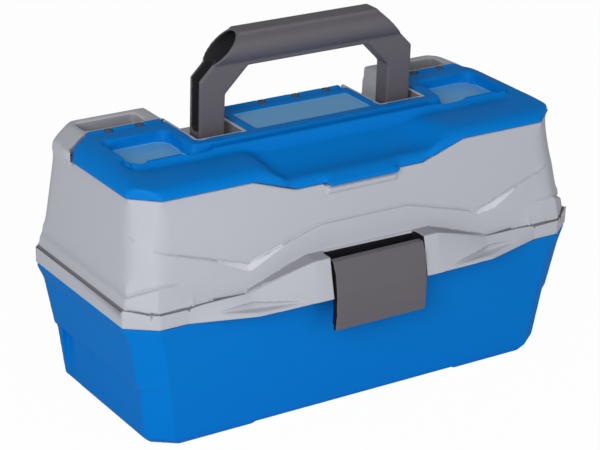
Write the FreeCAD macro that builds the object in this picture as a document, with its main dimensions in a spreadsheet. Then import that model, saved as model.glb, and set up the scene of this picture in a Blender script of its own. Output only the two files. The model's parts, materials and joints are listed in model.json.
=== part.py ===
"""A portable fishing tackle box: drafted tub, hinged lid with two level-lifting trays, a top
cover over three small compartments, a folding handle and an over-centre front latch.

Frame: millimetres, +X to the right along the front, +Y to the back, +Z up. The origin is on the
floor, under the middle of the box's length and of the rim's depth.
"""
import FreeCAD, Part
import math
import os
import re
import Sketcher

# Sizes: name, then millimetres or how it follows from sizes above it, then what it is
SIZES = [
    ("wall", 2.5, "moulded walls of the tub and the lid"),
    ("seam_gap", 0.4, "air between two moulded pieces that meet"),
    ("overrun", 6, "how far a cutting shape passes the face it cuts"),
    ("pin_fit", 0.05, "radial clearance of a pin that turns in its hole"),
    # The rim round the seam
    ("rim_length", 368, "rim, left to right"),
    ("rim_depth", 152.8, "rim, front to back"),
    ("rim_half", "=rim_depth / 2", "rim's front, in front of the middle"),
    ("rim_cut_x", 19.7, "corner cut of the rim, along the front"),
    ("rim_cut_y", 14.8, "corner cut of the rim, along the end"),
    ("seam_height", 92, "top of the tub"),
    ("rim_height", 13.5, "height of the lid's rim band"),
    ("deck_rise", 80, "deck that the cover closes on, over the seam"),
    ("deck_height", "=seam_height + deck_rise", "that deck, over the floor"),
    # The tub
    ("tub_floor", 3, "thickness of the tub's floor"),
    ("foot_inset_x", 25, "how far the bottom's ends lie inside the rim"),
    ("foot_inset_y", 9.9, "how far the bottom's front lies inside the rim"),
    ("foot_length", "=rim_length - 2 * foot_inset_x", "bottom face, left to right"),
    ("foot_depth", "=rim_depth - 2 * foot_inset_y", "bottom face, front to back"),
    ("tub_cut_x", 16, "corner cut of the tub, along the front"),
    ("tub_cut_y", 12, "corner cut of the tub, along the end"),
    ("bevel_height", 5, "height of the bevel round the bottom"),
    ("bevel_out", 5.5, "how far that bevel leans out at the ends"),
    ("front_lean", 2.5, "how far the bevel, and then the wall over it, lean out in front"),
    ("sill_length", "=foot_length + 2 * bevel_out", "tub just over the bevel, left to right"),
    ("sill_depth", "=foot_depth + 2 * front_lean", "tub just over the bevel, front to back"),
    ("ledge_height", 43, "where the end walls step outwards"),
    ("ledge_out", 5, "how far the end walls lean out up to that step"),
    ("ledge_length", "=sill_length + 2 * ledge_out", "tub under that step, left to right"),
    ("ledge_depth", "=sill_depth + 2 * front_lean", "tub at that step, front to back"),
    ("ledge_step", 2, "how far each end wall steps out"),
    ("ledge_rise", 1.5, "height of the step's slope"),
    ("lip_flare", 13, "height of the flare under the tub's top"),
    ("neck_height", "=seam_height - lip_flare", "where the tub flares to its lip"),
    ("neck_inset_x", 6, "how far the tub under the lip lies inside the rim's ends"),
    ("neck_inset_y", 2.4, "how far the tub under the lip lies inside the rim's front"),
    ("neck_length", "=rim_length - 2 * neck_inset_x", "tub under the lip, left to right"),
    ("neck_depth", "=rim_depth - 2 * neck_inset_y", "tub under the lip, front to back"),
    ("lip_height", 2, "upright edge of the tub's lip"),
    ("lip_inset", 0.6, "how far the lip lies inside the rim band"),
    ("flute_back", 35.5, "front edge of the flute in each end wall, from the tub's rear"),
    ("flute_front", "=ledge_depth / 2 - flute_back", "that edge, behind the middle"),
    ("flute_width", 18, "width of that flute"),
    ("flute_depth", 6, "depth of that flute at its top"),
    ("arch_height", 1.5, "lift of the bottom's edge between the feet"),
    ("arch_end", 74, "how far that lift stays from the bottom's ends"),
    ("arch_length", "=foot_length - 2 * arch_end", "length of that lift along the front"),
    ("arch_reach", 8, "how far the lift reaches in"),
    # The lid's body
    ("crown_rise", 1, "where the lid's drafted walls end, over the deck"),
    ("crown_height", "=deck_height + crown_rise", "where the lid's drafted walls end"),
    ("body_inset", 3.7, "how far the lid's ends lie inside the rim"),
    ("body_inset_front", 4.2, "how far the lid's front wall lies inside the rim"),
    ("body_inset_rear", 1.9, "how far the lid's rear wall lies inside the rim"),
    ("body_length", "=rim_length - 2 * body_inset", "lid's body at the rim, left to right"),
    ("body_front", "=rim_half - body_inset_front", "lid's front wall at the rim"),
    ("body_rear", "=rim_half - body_inset_rear", "lid's rear wall at the rim"),
    ("end_draft", 9.3, "how far each end of the lid leans in up to the crown"),
    ("front_draft", 11.8, "how far the lid's front leans in up to the crown"),
    ("rear_draft", 1.1, "how far the lid's rear leans in up to the crown"),
    ("crown_length", "=body_length - 2 * end_draft", "lid's body at the crown, left to right"),
    ("crown_front", "=body_front - front_draft", "lid's front wall at the crown"),
    ("crown_rear", "=body_rear - rear_draft", "lid's rear wall at the crown"),
    ("body_cut_x", 16, "front corner cut of the lid's body, along the front"),
    ("body_cut_y", 15, "front corner cut of the lid's body, along the end"),
    ("rear_cut", 13, "rear corner cut of the lid's body"),
    ("shoulder_rise", 8, "where the rear blocks' top chamfer starts, over the deck"),
    ("shoulder_height", "=deck_height + shoulder_rise", "that place, over the floor"),
    ("block_rise", 15, "rear blocks over the deck"),
    ("block_height", "=deck_height + block_rise", "top of the rear blocks"),
    ("block_slope", 15, "how far the rear blocks' ends lean in"),
    ("block_length", "=crown_length - 2 * block_slope", "rear blocks at their top, left to right"),
    ("block_depth", 28.9, "rear blocks, front to back"),
    ("block_front", "=crown_rear - block_depth", "front face of the rear blocks"),
    ("step_out", 1.5, "how far the lower panel stands out of the front"),
    ("wave_high_rise", 46, "top of the step in the middle, over the seam"),
    ("wave_high", "=seam_height + wave_high_rise", "that top, over the floor"),
    ("wave_high_half", 36, "half the length of that top"),
    ("wave_low_rise", 30.5, "low point of the step, over the seam"),
    ("wave_low", "=seam_height + wave_low_rise", "that low point, over the floor"),
    ("wave_low_out", 58.8, "low point of the step, from the end of its top"),
    ("wave_low_half", "=wave_high_half + wave_low_out", "low point of the step, from the middle"),
    ("wave_end_rise", 51, "step at the end of the flat front, over the seam"),
    ("wave_end", "=seam_height + wave_end_rise", "that place, over the floor"),
    ("wave_end_inset", 9, "end of the flat front, inside the crown's end"),
    ("wave_end_half", "=crown_length / 2 - wave_end_inset", "end of the flat front, from the middle"),
    ("skirt_out", 2.5, "how far the low skirt stands out of the front"),
    ("skirt_end_out", 1.2, "how far the low skirt stands out of the ends"),
    ("skirt_low_rise", 19.5, "top of the skirt along the ends, over the seam"),
    ("skirt_low", "=seam_height + skirt_low_rise", "that top, over the floor"),
    ("skirt_step", 9.5, "how far the skirt rises along the corner"),
    ("skirt_high", "=skirt_low + skirt_step", "top of the skirt at the end of the flat front"),
    ("skirt_dip", 2, "how far the skirt falls again where it starts"),
    ("skirt_mid", "=skirt_high - skirt_dip", "top of the skirt where it starts"),
    ("skirt_length", 22, "length of the skirt on the flat front"),
    ("skirt_start", "=wave_end_half - skirt_length", "where the skirt starts, from the middle"),
    # The handle's stance and its pockets in the lid
    ("leg_inset", 5, "outer side of a handle leg, inside the quarter points of the rim"),
    ("leg_outer", "=rim_length / 4 - leg_inset", "outer side of a handle leg"),
    ("leg_width", 20, "width of a handle leg"),
    ("leg_inner", "=leg_outer - leg_width", "inner side of a handle leg"),
    ("handle_axis_y", 14, "handle's pivot, behind the middle"),
    ("handle_rise", 4, "handle's pivot, over the deck"),
    ("handle_axis_z", "=deck_height + handle_rise", "handle's pivot, over the floor"),
    ("leg_room_in", 10, "room beside a leg's inner side"),
    ("leg_room_out", 5.5, "room beside a leg's outer side"),
    ("leg_room_front", 14.5, "room in front of the handle's pivot"),
    ("pocket_inner", "=leg_inner - leg_room_in", "inner side of a handle pocket"),
    ("stow_half", "=leg_outer + leg_room_out", "half the width of the bay behind the handle"),
    ("pocket_front", "=leg_room_front - handle_axis_y", "front side of a handle pocket"),
    ("pocket_height", "=block_height", "top of the wall round a handle pocket"),
    ("stow_drop", 7, "floor of the bay behind the handle, under the deck"),
    ("stow_floor", "=deck_height - stow_drop", "floor of that bay and of the handle's pockets"),
    ("notch_air", 0.5, "air between a handle pocket's wall and the cover"),
    ("notch_inner", "=pocket_inner - wall - notch_air", "inner side of the cover's notch for the handle"),
    ("notch_outer", "=stow_half + wall + notch_air", "outer side of that notch"),
    ("notch_front", "=pocket_front + wall + notch_air", "front side of that notch"),
    # The small compartments under the cover
    ("bay_depth", 15.5, "depth of the small compartments, under the deck"),
    ("bay_floor", "=deck_height - bay_depth", "floor of the small compartments"),
    ("bay_wall", 2, "wall of the small compartments"),
    ("side_bay_gap", 5.5, "inner side of a side compartment, from the notch"),
    ("side_bay_inner", "=notch_outer + side_bay_gap", "inner side of a side compartment"),
    ("side_bay_inset", 11, "outer side of a side compartment, inside the crown's end"),
    ("side_bay_outer", "=crown_length / 2 - side_bay_inset", "outer side of a side compartment"),
    ("side_bay_ledge", 14.4, "front side of a side compartment, behind the crown's front"),
    ("side_bay_front", "=crown_front - side_bay_ledge", "that side, in front of the middle"),
    ("bay_rear_ledge", 10.5, "rear side of the small compartments, in front of the blocks"),
    ("bay_rear", "=block_front - bay_rear_ledge", "rear side of the small compartments"),
    ("mid_bay_gap", 4, "end of the middle compartment, from the notch"),
    ("mid_bay_half", "=notch_inner - mid_bay_gap", "half the length of the middle compartment"),
    ("slot_gap", 9.5, "inner side of the pocket in a rear block, from the notch"),
    ("slot_inner", "=notch_outer + slot_gap", "inner side of the pocket in a rear block"),
    ("slot_end", 5.3, "outer side of that pocket, inside the block's end"),
    ("slot_outer", "=block_length / 2 - slot_end", "outer side of that pocket"),
    ("slot_front_wall", 5.5, "front side of that pocket, behind the block's front"),
    ("slot_front", "=block_front + slot_front_wall", "front side of that pocket"),
    ("slot_rear_wall", 7.4, "rear side of that pocket, in front of the block's rear"),
    ("slot_rear", "=crown_rear - slot_rear_wall", "rear side of that pocket"),
    ("slot_depth", 16, "depth of that pocket"),
    # The wells and the channel in the cover, which set the dip in the lid's front
    ("well_drop", 8, "floor of the wells and of the channel, over the deck"),
    ("well_floor", "=deck_height + well_drop", "that floor, over the room's floor"),
    ("channel_gap", 9, "rear of the channel between the wells, in front of the notch"),
    ("channel_rear", "=notch_front + channel_gap", "rear of that channel"),
    ("channel_width", 7.5, "channel, front to back"),
    ("well_front", "=channel_rear + channel_width", "front of a well"),
    ("dip_gap", 2, "rear end of the dip for the cover's tongue, in front of the wells"),
    ("dip_rear", "=well_front + dip_gap", "rear end of that dip"),
    ("mid_bay_ledge", 4, "front side of the middle compartment, behind the dip"),
    ("mid_bay_front", "=dip_rear - mid_bay_ledge", "front side of the middle compartment"),
    # The dip in the lid's front for the cover's tongue
    ("dip_depth", 8.1, "bottom of the dip, under the deck"),
    ("dip_height", "=deck_height - dip_depth", "bottom of the dip"),
    ("dip_low_half", 52, "half the length of the dip's bottom"),
    ("dip_flare", 34, "how far the dip widens up to the deck"),
    ("dip_high_half", "=dip_low_half + dip_flare", "half the length of the dip at the deck"),
    ("thumb_half", 28, "half the length of the ledge under the cover's tab"),
    ("thumb_out", 4, "how far that ledge stands out"),
    ("thumb_drop", 2.9, "top of that ledge, under the dip"),
    ("thumb_top", "=dip_height - thumb_drop", "top of that ledge"),
    ("thumb_thick", 3.5, "thickness of that ledge"),
    # The latch and its housing on the lid
    ("latch_half", 37.2, "half the width of the latch"),
    ("latch_out", 5.6, "latch's pivot, in front of the rim"),
    ("latch_axis_y", "=rim_half + latch_out", "latch's pivot, in front of the middle"),
    ("latch_rise", 21.5, "latch's pivot, over the seam"),
    ("latch_axis_z", "=seam_height + latch_rise", "latch's pivot, over the floor"),
    ("latch_pin_radius", 1.5, "radius of the latch's pin"),
    ("latch_knuckle", 4.2, "radius of the latch round its pin"),
    ("latch_reach", 23, "bottom edge of the latch, under the seam"),
    ("latch_bottom", "=seam_height - latch_reach", "bottom edge of the latch"),
    ("latch_bulge", 10.6, "front of the latch, in front of its pivot"),
    ("latch_front", "=latch_axis_y + latch_bulge", "front of the latch, in front of the middle"),
    ("latch_plate", 3, "thickness of the latch's plate"),
    ("latch_cheek", 2, "thickness of the latch's two side walls"),
    ("latch_side_gap", 0.6, "air beside the latch"),
    ("slot_half", "=latch_half + latch_side_gap", "half the width of the gap that the latch lies in"),
    ("latch_pin_seat", 8.2, "how deep the latch's pin sits in the housing"),
    ("latch_pin_half", "=slot_half + latch_pin_seat", "half the length of that pin"),
    ("hook_side", 12.2, "end of the hook, inside the latch's end"),
    ("hook_half", "=latch_half - hook_side", "half the width of the hook and of its catch"),
    ("hook_drop", 15.2, "top of the hook, under the seam"),
    ("hook_top", "=seam_height - hook_drop", "top of the hook"),
    ("hook_thick", 3, "thickness of the hook"),
    ("hook_reach", 1.5, "tip of the hook, behind the latch's pivot"),
    ("hook_tip", "=latch_axis_y - hook_reach", "tip of the hook, in front of the middle"),
    ("catch_out", 7.6, "front of the catch, in front of the rim"),
    ("catch_front", "=rim_half + catch_out", "front of the catch, in front of the middle"),
    ("catch_thick", 4, "thickness of the catch"),
    ("housing_rise", 28.6, "top of the housing, over the seam"),
    ("housing_top", "=seam_height + housing_rise", "top of the housing"),
    ("housing_cheek", 12.5, "width of the housing's flat front beside the latch"),
    ("housing_half", "=slot_half + housing_cheek", "half the length of the housing's flat front"),
    ("housing_out_low", 14.6, "housing's front at its bottom, in front of the rim"),
    ("housing_low", "=rim_half + housing_out_low", "that front, in front of the middle"),
    ("housing_out_high", 7.6, "housing's front at its top, in front of the rim"),
    ("housing_high", "=rim_half + housing_out_high", "that front, in front of the middle"),
    ("wing_length", 46.7, "length of the housing's wings up to their bend"),
    ("wing_half", "=housing_half + wing_length", "bend of the housing's wings, from the middle"),
    ("wing_out_low", 13.6, "wing's front at its bottom, in front of the rim"),
    ("wing_low", "=rim_half + wing_out_low", "that front, in front of the middle"),
    ("wing_out_high", 1.6, "wing's front at the rim's top, in front of the rim"),
    ("wing_high", "=rim_half + wing_out_high", "that front, in front of the middle"),
    ("wing_stop", 41, "where the wings run out into the rim, inside the rim's end"),
    ("wing_end", "=rim_length / 2 - wing_stop", "that place, from the middle"),
    ("scoop_end_gap", 13, "outer end of the scoop in a wing, inside the wing's end"),
    ("scoop_end", "=wing_end - scoop_end_gap", "outer end of that scoop"),
    ("scoop_start_gap", 4.7, "inner end of that scoop, beyond the flat front"),
    ("scoop_start", "=housing_half + scoop_start_gap", "inner end of that scoop"),
    ("scoop_sill", 3, "bottom of that scoop, over the seam"),
    ("scoop_low", "=seam_height + scoop_sill", "bottom of that scoop"),
    ("scoop_rise", 5.5, "height of that scoop"),
    ("scoop_floor_out", 3.6, "floor of that scoop, in front of the rim"),
    ("scoop_floor", "=rim_half + scoop_floor_out", "floor of that scoop, in front of the middle"),
    ("slot_back_out", 0.2, "back of the latch's gap, in front of the rim"),
    ("slot_back", "=rim_half + slot_back_out", "back of that gap at the rim"),
    ("slot_back_in", 2.2, "back of the latch's gap over the rim band, behind the rim's front"),
    ("slot_upper_back", "=rim_half - slot_back_in", "back of that gap over the rim"),
    # The hinge between tub and lid
    ("hinge_out", 5.6, "hinge axis, behind the rim"),
    ("hinge_y", "=rim_half + hinge_out", "hinge axis, behind the middle"),
    ("hinge_rise", 3, "hinge axis, over the seam"),
    ("hinge_z", "=seam_height + hinge_rise", "hinge axis, over the floor"),
    ("hinge_knuckle", 4.5, "radius of a hinge knuckle"),
    ("hinge_pin_radius", 2, "radius of a hinge pin"),
    ("hinge_inner", 72, "inner end of each hinge"),
    ("knuckle_length", 12, "length of a hinge knuckle"),
    # The trays and their arms
    ("tray_room", 22.3, "how far a tray's ends lie inside the lid's"),
    ("tray_half", "=body_length / 2 - tray_room", "half the length of a tray"),
    ("tray_wall", 2, "walls and floor of a tray"),
    ("tray_corner", 8, "corner cut of a tray"),
    ("tray_apart", 2, "air between the two trays"),
    ("low_tray_over", 1, "top of the lower tray, over the seam"),
    ("low_tray_top", "=seam_height + low_tray_over", "top of the lower tray"),
    ("low_tray_depth", 32, "height of the lower tray"),
    ("low_tray_bottom", "=low_tray_top - low_tray_depth", "bottom of the lower tray"),
    ("low_tray_front_room", 14.4, "lower tray's front, inside the rim"),
    ("low_tray_front", "=rim_half - low_tray_front_room", "front of the lower tray"),
    ("low_tray_rear_room", 27.4, "lower tray's rear, inside the rim"),
    ("low_tray_rear", "=rim_half - low_tray_rear_room", "rear of the lower tray"),
    ("high_tray_bottom", "=low_tray_top + tray_apart", "bottom of the upper tray"),
    ("high_tray_depth", 30, "height of the upper tray"),
    ("high_tray_top", "=high_tray_bottom + high_tray_depth", "top of the upper tray"),
    ("high_tray_front_room", 16.4, "upper tray's front, inside the rim"),
    ("high_tray_front", "=rim_half - high_tray_front_room", "front of the upper tray"),
    ("high_tray_rear_room", 31.4, "upper tray's rear, inside the rim"),
    ("high_tray_rear", "=rim_half - high_tray_rear_room", "rear of the upper tray"),
    ("low_swing", 50, "lower tray's pivot to the hinge axis"),
    ("pivot_spacing", 35, "upper tray's pivot to the lower one's"),
    ("high_swing", "=low_swing + pivot_spacing", "upper tray's pivot to the hinge axis"),
    ("arm_back", 30, "arms' pivot on the tub, in front of the hinge axis"),
    ("arm_drop", 9, "arms' pivot on the tub, under the hinge axis"),
    ("ear_thick", 2, "thickness of a tray's ears"),
    ("arm_gap", 1, "air between an ear and an arm"),
    ("arm_thick", 2.4, "thickness of an arm"),
    ("arm_half", 3.5, "half the width of an arm"),
    ("pivot_radius", 2, "radius of the tray and arm pins"),
    ("boss_radius", 4.5, "radius of the bosses round those pins"),
    ("boss_gap", 0.6, "air between an ear and its boss"),
    ("pin_seat", 9, "how deep a pin sits in its boss"),
    ("divider_thick", 1.6, "thickness of a tray divider"),
    ("divider_gap", 0.3, "air round a divider in its slot"),
    ("divider_rib", 1.6, "ribs that hold a divider"),
    ("divider_drop", 3, "top of a divider under the tray's top"),
    # The handle
    ("handle_pin_radius", 2.5, "radius of a handle pin"),
    ("leg_front_reach", 7.4, "front of a leg, in front of the handle's pivot"),
    ("leg_front", "=handle_axis_y - leg_front_reach", "front of a leg, behind the middle"),
    ("leg_depth", 14, "leg, front to back"),
    ("leg_rear", "=leg_front + leg_depth", "rear of a leg, behind the middle"),
    ("leg_foot", 7.5, "lower end of a leg, under the handle's pivot"),
    ("leg_bottom", "=handle_axis_z - leg_foot", "lower end of a leg"),
    ("leg_wall", 2.5, "walls of a leg's channel"),
    ("hub_rise", 11.5, "solid foot of a leg, over the handle's pivot"),
    ("hub_top", "=handle_axis_z + hub_rise", "top of the solid foot of a leg"),
    ("grip_rise", 67, "axis of the grip, over the handle's pivot"),
    ("grip_z", "=handle_axis_z + grip_rise", "axis of the grip, over the floor"),
    ("grip_radius", 12, "outer radius of the grip"),
    ("grip_wall", 2, "wall of the grip"),
    ("grip_bore", "=grip_radius - grip_wall", "radius of the bore through the grip"),
    ("shoulder_drop", 7, "where a leg's outer side starts to lean in, under the grip"),
    ("shoulder_high", "=grip_z - grip_radius - shoulder_drop", "that place, over the floor"),
    ("shoulder_slope", 12, "inner bend of a shoulder, under the outer one"),
    ("shoulder_low", "=shoulder_high - shoulder_slope", "where a leg's inner side starts to lean in"),
    ("grip_flat", 1, "underside of the arch, under the grip's"),
    ("grip_under", "=grip_z - grip_radius - grip_flat", "underside of the arch"),
    ("shoulder_length", 18, "length of a shoulder under the grip"),
    ("grip_inner", "=leg_inner - shoulder_length", "half the length of the grip's underside"),
    # The cover
    ("cover_wall", 2.2, "thickness of the cover"),
    ("cover_rise", 15.8, "top of the cover, over the deck"),
    ("cover_top", "=deck_height + cover_rise", "top of the cover"),
    ("cover_over", 2.4, "how far the cover's lower edge stands out of the crown's ends"),
    ("cover_half", "=crown_length / 2 + cover_over", "half the length of the cover's lower edge"),
    ("cover_bulge_in", 7.4, "how far the side bulges in, half way up"),
    ("cover_mid_half", "=cover_half - cover_bulge_in", "half the length where the side bulges"),
    ("cover_slope", 9, "how far the side leans in from there to the top"),
    ("cover_rim_half", "=cover_mid_half - cover_slope", "half the length of the cover's flat top"),
    ("cover_front_over", 1.4, "how far the cover stands out of the crown's front"),
    ("cover_front", "=crown_front + cover_front_over", "front of the cover, in front of the middle"),
    ("cover_cut_x", 18.9, "corner cut of the cover, along the front"),
    ("cover_front_half", "=cover_half - cover_cut_x", "half the length of the cover's front edge"),
    ("cover_cut_y", 16.3, "corner cut of the cover, along the end"),
    ("cover_corner_y", "=cover_front - cover_cut_y", "end of that corner cut"),
    ("cover_rear_gap", 1.1, "air between the cover and the rear blocks"),
    ("cover_rear", "=block_front - cover_rear_gap", "rear of the cover, behind the middle"),
    ("cover_round", 19, "how far the cover's rounded rear corners reach, both ways"),
    ("cover_bend", 5.6, "bend half way round such a corner, inside the cover's end and rear"),
    ("brow_depth", 17.8, "where the cover's front reaches its top, behind its front"),
    ("brow_y", "=cover_front - brow_depth", "that place, in front of the middle"),
    ("tongue_gap", 0.5, "air under the cover's tongue"),
    ("tongue_low", "=dip_height + tongue_gap", "lower edge of the cover's tongue"),
    ("tongue_half", "=dip_low_half - seam_gap", "half the length of the tongue's edge"),
    ("tongue_root", "=dip_high_half - seam_gap", "half the length of the tongue at the deck"),
    ("well_gap", 8.5, "inner side of a well in the cover, from the notch"),
    ("well_inner", "=notch_outer + well_gap", "inner side of a well in the cover"),
    ("well_border", 19.4, "outer side of that well, inside the cover's end"),
    ("well_outer", "=cover_half - well_border", "outer side of that well"),
    ("well_rear_border", 19.4, "rear of that well, in front of the cover's rear"),
    ("well_rear", "=cover_rear - well_rear_border", "rear of that well, behind the middle"),
    ("window_gap", 6, "end of the middle panel, from the notch"),
    ("window_half", "=notch_inner - window_gap", "half the length of the middle panel"),
    ("window_front_gap", 0.5, "front of the middle panel, behind the notch's front"),
    ("window_front", "=notch_front - window_front_gap", "front of the middle panel"),
    ("window_border", 13.4, "rear of the middle panel, in front of the cover's rear"),
    ("window_rear", "=cover_rear - window_border", "rear of the middle panel, behind the middle"),
    ("window_drop", 1.2, "how far the middle panel lies under the top"),
    ("palm_low_half", "=dip_low_half", "half the length of the thumb scoop at the tongue"),
    ("palm_flare", 20, "how far the thumb scoop widens up to the top"),
    ("palm_high_half", "=palm_low_half + palm_flare", "half the length of the thumb scoop at the top"),
    ("palm_gap", 4, "rear of the thumb scoop, in front of the dip's rear end"),
    ("palm_rear", "=dip_rear + palm_gap", "rear of the thumb scoop, in front of the middle"),
    ("palm_lift", 2.2, "scoop's front edge over the tongue's edge"),
    ("palm_rear_drop", 12.5, "scoop's rear edge under the cover's top"),
    ("tab_side", 2, "how far the finger tab reaches past the ledge under it"),
    ("tab_half", "=thumb_half + tab_side", "half the length of the cover's finger tab"),
    ("tab_out", 4.5, "how far that tab stands out"),
    ("tab_thick", 2.6, "thickness of that tab"),
    ("cover_axis_in", 2.4, "cover's hinge axis, in front of the cover's rear"),
    ("cover_axis_y", "=cover_rear - cover_axis_in", "cover's hinge axis, behind the middle"),
    ("cover_axis_drop", 1.8, "cover's hinge axis, under the cover's top"),
    ("cover_axis_z", "=cover_top - cover_axis_drop", "cover's hinge axis, over the floor"),
    ("cover_knuckle", 3, "radius of the cover's knuckles"),
    ("cover_pin_radius", 1, "radius of the cover's pins"),
    ("side_hinge_gap", 2, "inner end of a side hinge, from the notch"),
    ("side_hinge_inner", "=notch_outer + side_hinge_gap", "inner end of a side hinge"),
    ("side_hinge_end", 20.9, "outer end of a side hinge, inside the cover's end"),
    ("side_hinge_outer", "=cover_half - side_hinge_end", "outer end of a side hinge"),
    ("mid_hinge_gap", 4, "end of the middle hinge, from the notch"),
    ("mid_hinge_half", "=notch_inner - mid_hinge_gap", "half the length of the middle hinge"),
    ("ear_length", 5, "length of the lid's ear in the cover's hinge"),
    ("hinge_relief_in", 3.5, "front of the room for the hinge, in front of its axis"),
    ("hinge_relief", "=cover_axis_y - hinge_relief_in", "that front, behind the middle"),
]

# Where the repeated pieces stand, as shares of the length that holds them
DIVIDER_SHARES = (-0.6, -0.2, 0.2, 0.6)
SIDE_EAR_SHARES = (0.27, 0.70)
MID_EAR_SHARES = (-0.38, 0.18, 0.70)
LID_KNUCKLES = (1, 3)
TUB_KNUCKLES = (0, 2, 4)
SIDES = (-1, 1)

doc = FreeCAD.newDocument("tackle_box")
sheet = doc.addObject("Spreadsheet::Sheet", "sizes")
for row, (alias, size, meaning) in enumerate(SIZES, start=1):
    sheet.set(f"A{row}", alias)
    sheet.set(f"B{row}", str(size))
    sheet.setAlias(f"B{row}", alias)
    sheet.set(f"C{row}", meaning)
doc.recompute()

ALIASES = {alias for alias, size, meaning in SIZES}
WORD = re.compile(r"[a-z_]+")


def cells(expression):
    """The expression with the sheet's name before each alias in it."""
    return WORD.sub(lambda m: f"sizes.{m.group()}" if m.group() in ALIASES else m.group(), expression)


def bind(item, **expressions):
    """Tie properties to the sheet; a double underscore in a name stands for a dot."""
    for name, expression in expressions.items():
        item.setExpression(name.replace("__", "."), cells(str(expression)))
    return item


# Sketch planes: turn of the sketch, the axis across it, and the way a prism grows
PLANES = {
    "top": (FreeCAD.Rotation(), "z", FreeCAD.Vector(0, 0, 1)),
    "front": (FreeCAD.Rotation(FreeCAD.Vector(1, 0, 0), 90), "y", FreeCAD.Vector(0, 1, 0)),
    "side": (FreeCAD.Rotation(FreeCAD.Vector(1, 1, 1), 120), "x", FreeCAD.Vector(1, 0, 0)),
}


def outline(name, plane, at, points):
    """A closed polygon sketch. Each corner's two places are expressions in the sheet's sizes."""
    turn, across, grow = PLANES[plane]
    sketch = doc.addObject("Sketcher::SketchObject", name + "_outline")
    count = len(points)
    guess = [FreeCAD.Vector(math.cos(math.tau * i / count), math.sin(math.tau * i / count), 0)
             for i in range(count)]
    for i in range(count):
        sketch.addGeometry(Part.LineSegment(guess[i], guess[(i + 1) % count]))
    for i in range(count):
        sketch.addConstraint(Sketcher.Constraint("Coincident", i, 2, (i + 1) % count, 1))
    for i, (across_place, up_place) in enumerate(points):
        ties = (("DistanceX", guess[i].x, across_place), ("DistanceY", guess[i].y, up_place))
        for kind, start, place in ties:
            index = sketch.addConstraint(Sketcher.Constraint(kind, -1, 1, i, 1, start))
            sketch.setExpression(f"Constraints[{index}]", cells(str(place)))
    sketch.Placement = FreeCAD.Placement(FreeCAD.Vector(), turn)
    return bind(sketch, **{f"Placement__Base__{across}": at})


def prism(name, plane, start, end, points):
    """A polygon in a plane, drawn out from start to end along the axis across that plane."""
    solid = doc.addObject("Part::Extrusion", name)
    solid.Base = outline(name, plane, start, points)
    solid.DirMode = "Custom"
    solid.Dir = PLANES[plane][2]
    solid.Solid = True
    return bind(solid, LengthFwd=f"({end}) - ({start})")


def loft(name, plane, sections):
    """A solid through polygons with the same number of corners, with flat or ruled faces."""
    solid = doc.addObject("Part::Loft", name)
    solid.Sections = [outline(f"{name}_{i}", plane, at, points) for i, (at, points) in enumerate(sections)]
    solid.Solid = True
    solid.Ruled = True
    return solid


def box(name, x_low, x_high, y_low, y_high, z_low, z_high):
    """A block between two places on each axis."""
    block = doc.addObject("Part::Box", name)
    return bind(block, Length=f"({x_high}) - ({x_low})", Width=f"({y_high}) - ({y_low})",
                Height=f"({z_high}) - ({z_low})", Placement__Base__x=x_low, Placement__Base__y=y_low,
                Placement__Base__z=z_low)


def rod(name, x_low, x_high, y, z, radius):
    """A round bar along X."""
    bar = doc.addObject("Part::Cylinder", name)
    bar.Placement.Rotation = FreeCAD.Rotation(FreeCAD.Vector(0, 1, 0), 90)
    return bind(bar, Radius=radius, Height=f"({x_high}) - ({x_low})", Placement__Base__x=x_low,
                Placement__Base__y=y, Placement__Base__z=z)


def fuse(name, shapes):
    """One solid from several that meet."""
    joined = doc.addObject("Part::MultiFuse", name)
    joined.Shapes = list(shapes)
    joined.Refine = True
    return joined


def group(name, shapes):
    """Separate solids that share one node."""
    several = doc.addObject("Part::Compound", name)
    several.Links = list(shapes)
    return several


def cut(name, base, tools):
    """A shape less its tools."""
    rest = doc.addObject("Part::Cut", name)
    rest.Base = base
    rest.Tool = tools[0] if len(tools) == 1 else group(name + "_tools", tools)
    rest.Refine = True
    return rest


def common(name, shapes):
    """What all the shapes share."""
    shared = doc.addObject("Part::MultiCommon", name)
    shared.Shapes = list(shapes)
    shared.Refine = True
    return shared


def side_name(side):
    return "left" if side < 0 else "right"


def span(side, near, far):
    """The low and high X of a stretch that lies from near to far on one side of the middle."""
    return (near, far) if side > 0 else (f"-({far})", f"-({near})")


def mirrored(points):
    """A row of corners on the right, from the middle out, with its mirror image on the left."""
    left = [(f"-({x})", z) for x, z in reversed(points)]
    return left + list(points)


def ring(half_x, front, rear, cut_x, cut_y, rear_x=None, rear_y=None):
    """A rectangle with cut corners, seen from above, from the front's left corner round."""
    rear_x = rear_x or cut_x
    rear_y = rear_y or cut_y
    return [
        (f"-({half_x}) + {cut_x}", f"-({front})"), (f"{half_x} - {cut_x}", f"-({front})"),
        (half_x, f"-({front}) + {cut_y}"), (half_x, f"{rear} - {rear_y}"),
        (f"{half_x} - {rear_x}", rear), (f"-({half_x}) + {rear_x}", rear),
        (f"-({half_x})", f"{rear} - {rear_y}"), (f"-({half_x})", f"-({front}) + {cut_y}"),
    ]


def even_ring(length, depth, cut_x, cut_y, inset="0"):
    """A ring that is alike in front and behind, drawn in all round by the inset."""
    reach = f"({depth}) / 2 - {inset}"
    return ring(f"({length}) / 2 - {inset}", reach, reach, cut_x, cut_y)


def cover_corners(out):
    """The cover's two rear corners from the right end round to the left end, moved out."""
    right = [
        (f"cover_half + ({out})", f"cover_rear - cover_round + ({out}) / 2"),
        (f"cover_half - cover_bend + ({out}) * 3 / 4", f"cover_rear - cover_bend + ({out}) * 3 / 4"),
        (f"cover_half - cover_round + ({out}) / 2", f"cover_rear + ({out})"),
    ]
    return right + [(f"-({x})", y) for x, y in reversed(right)]


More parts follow.
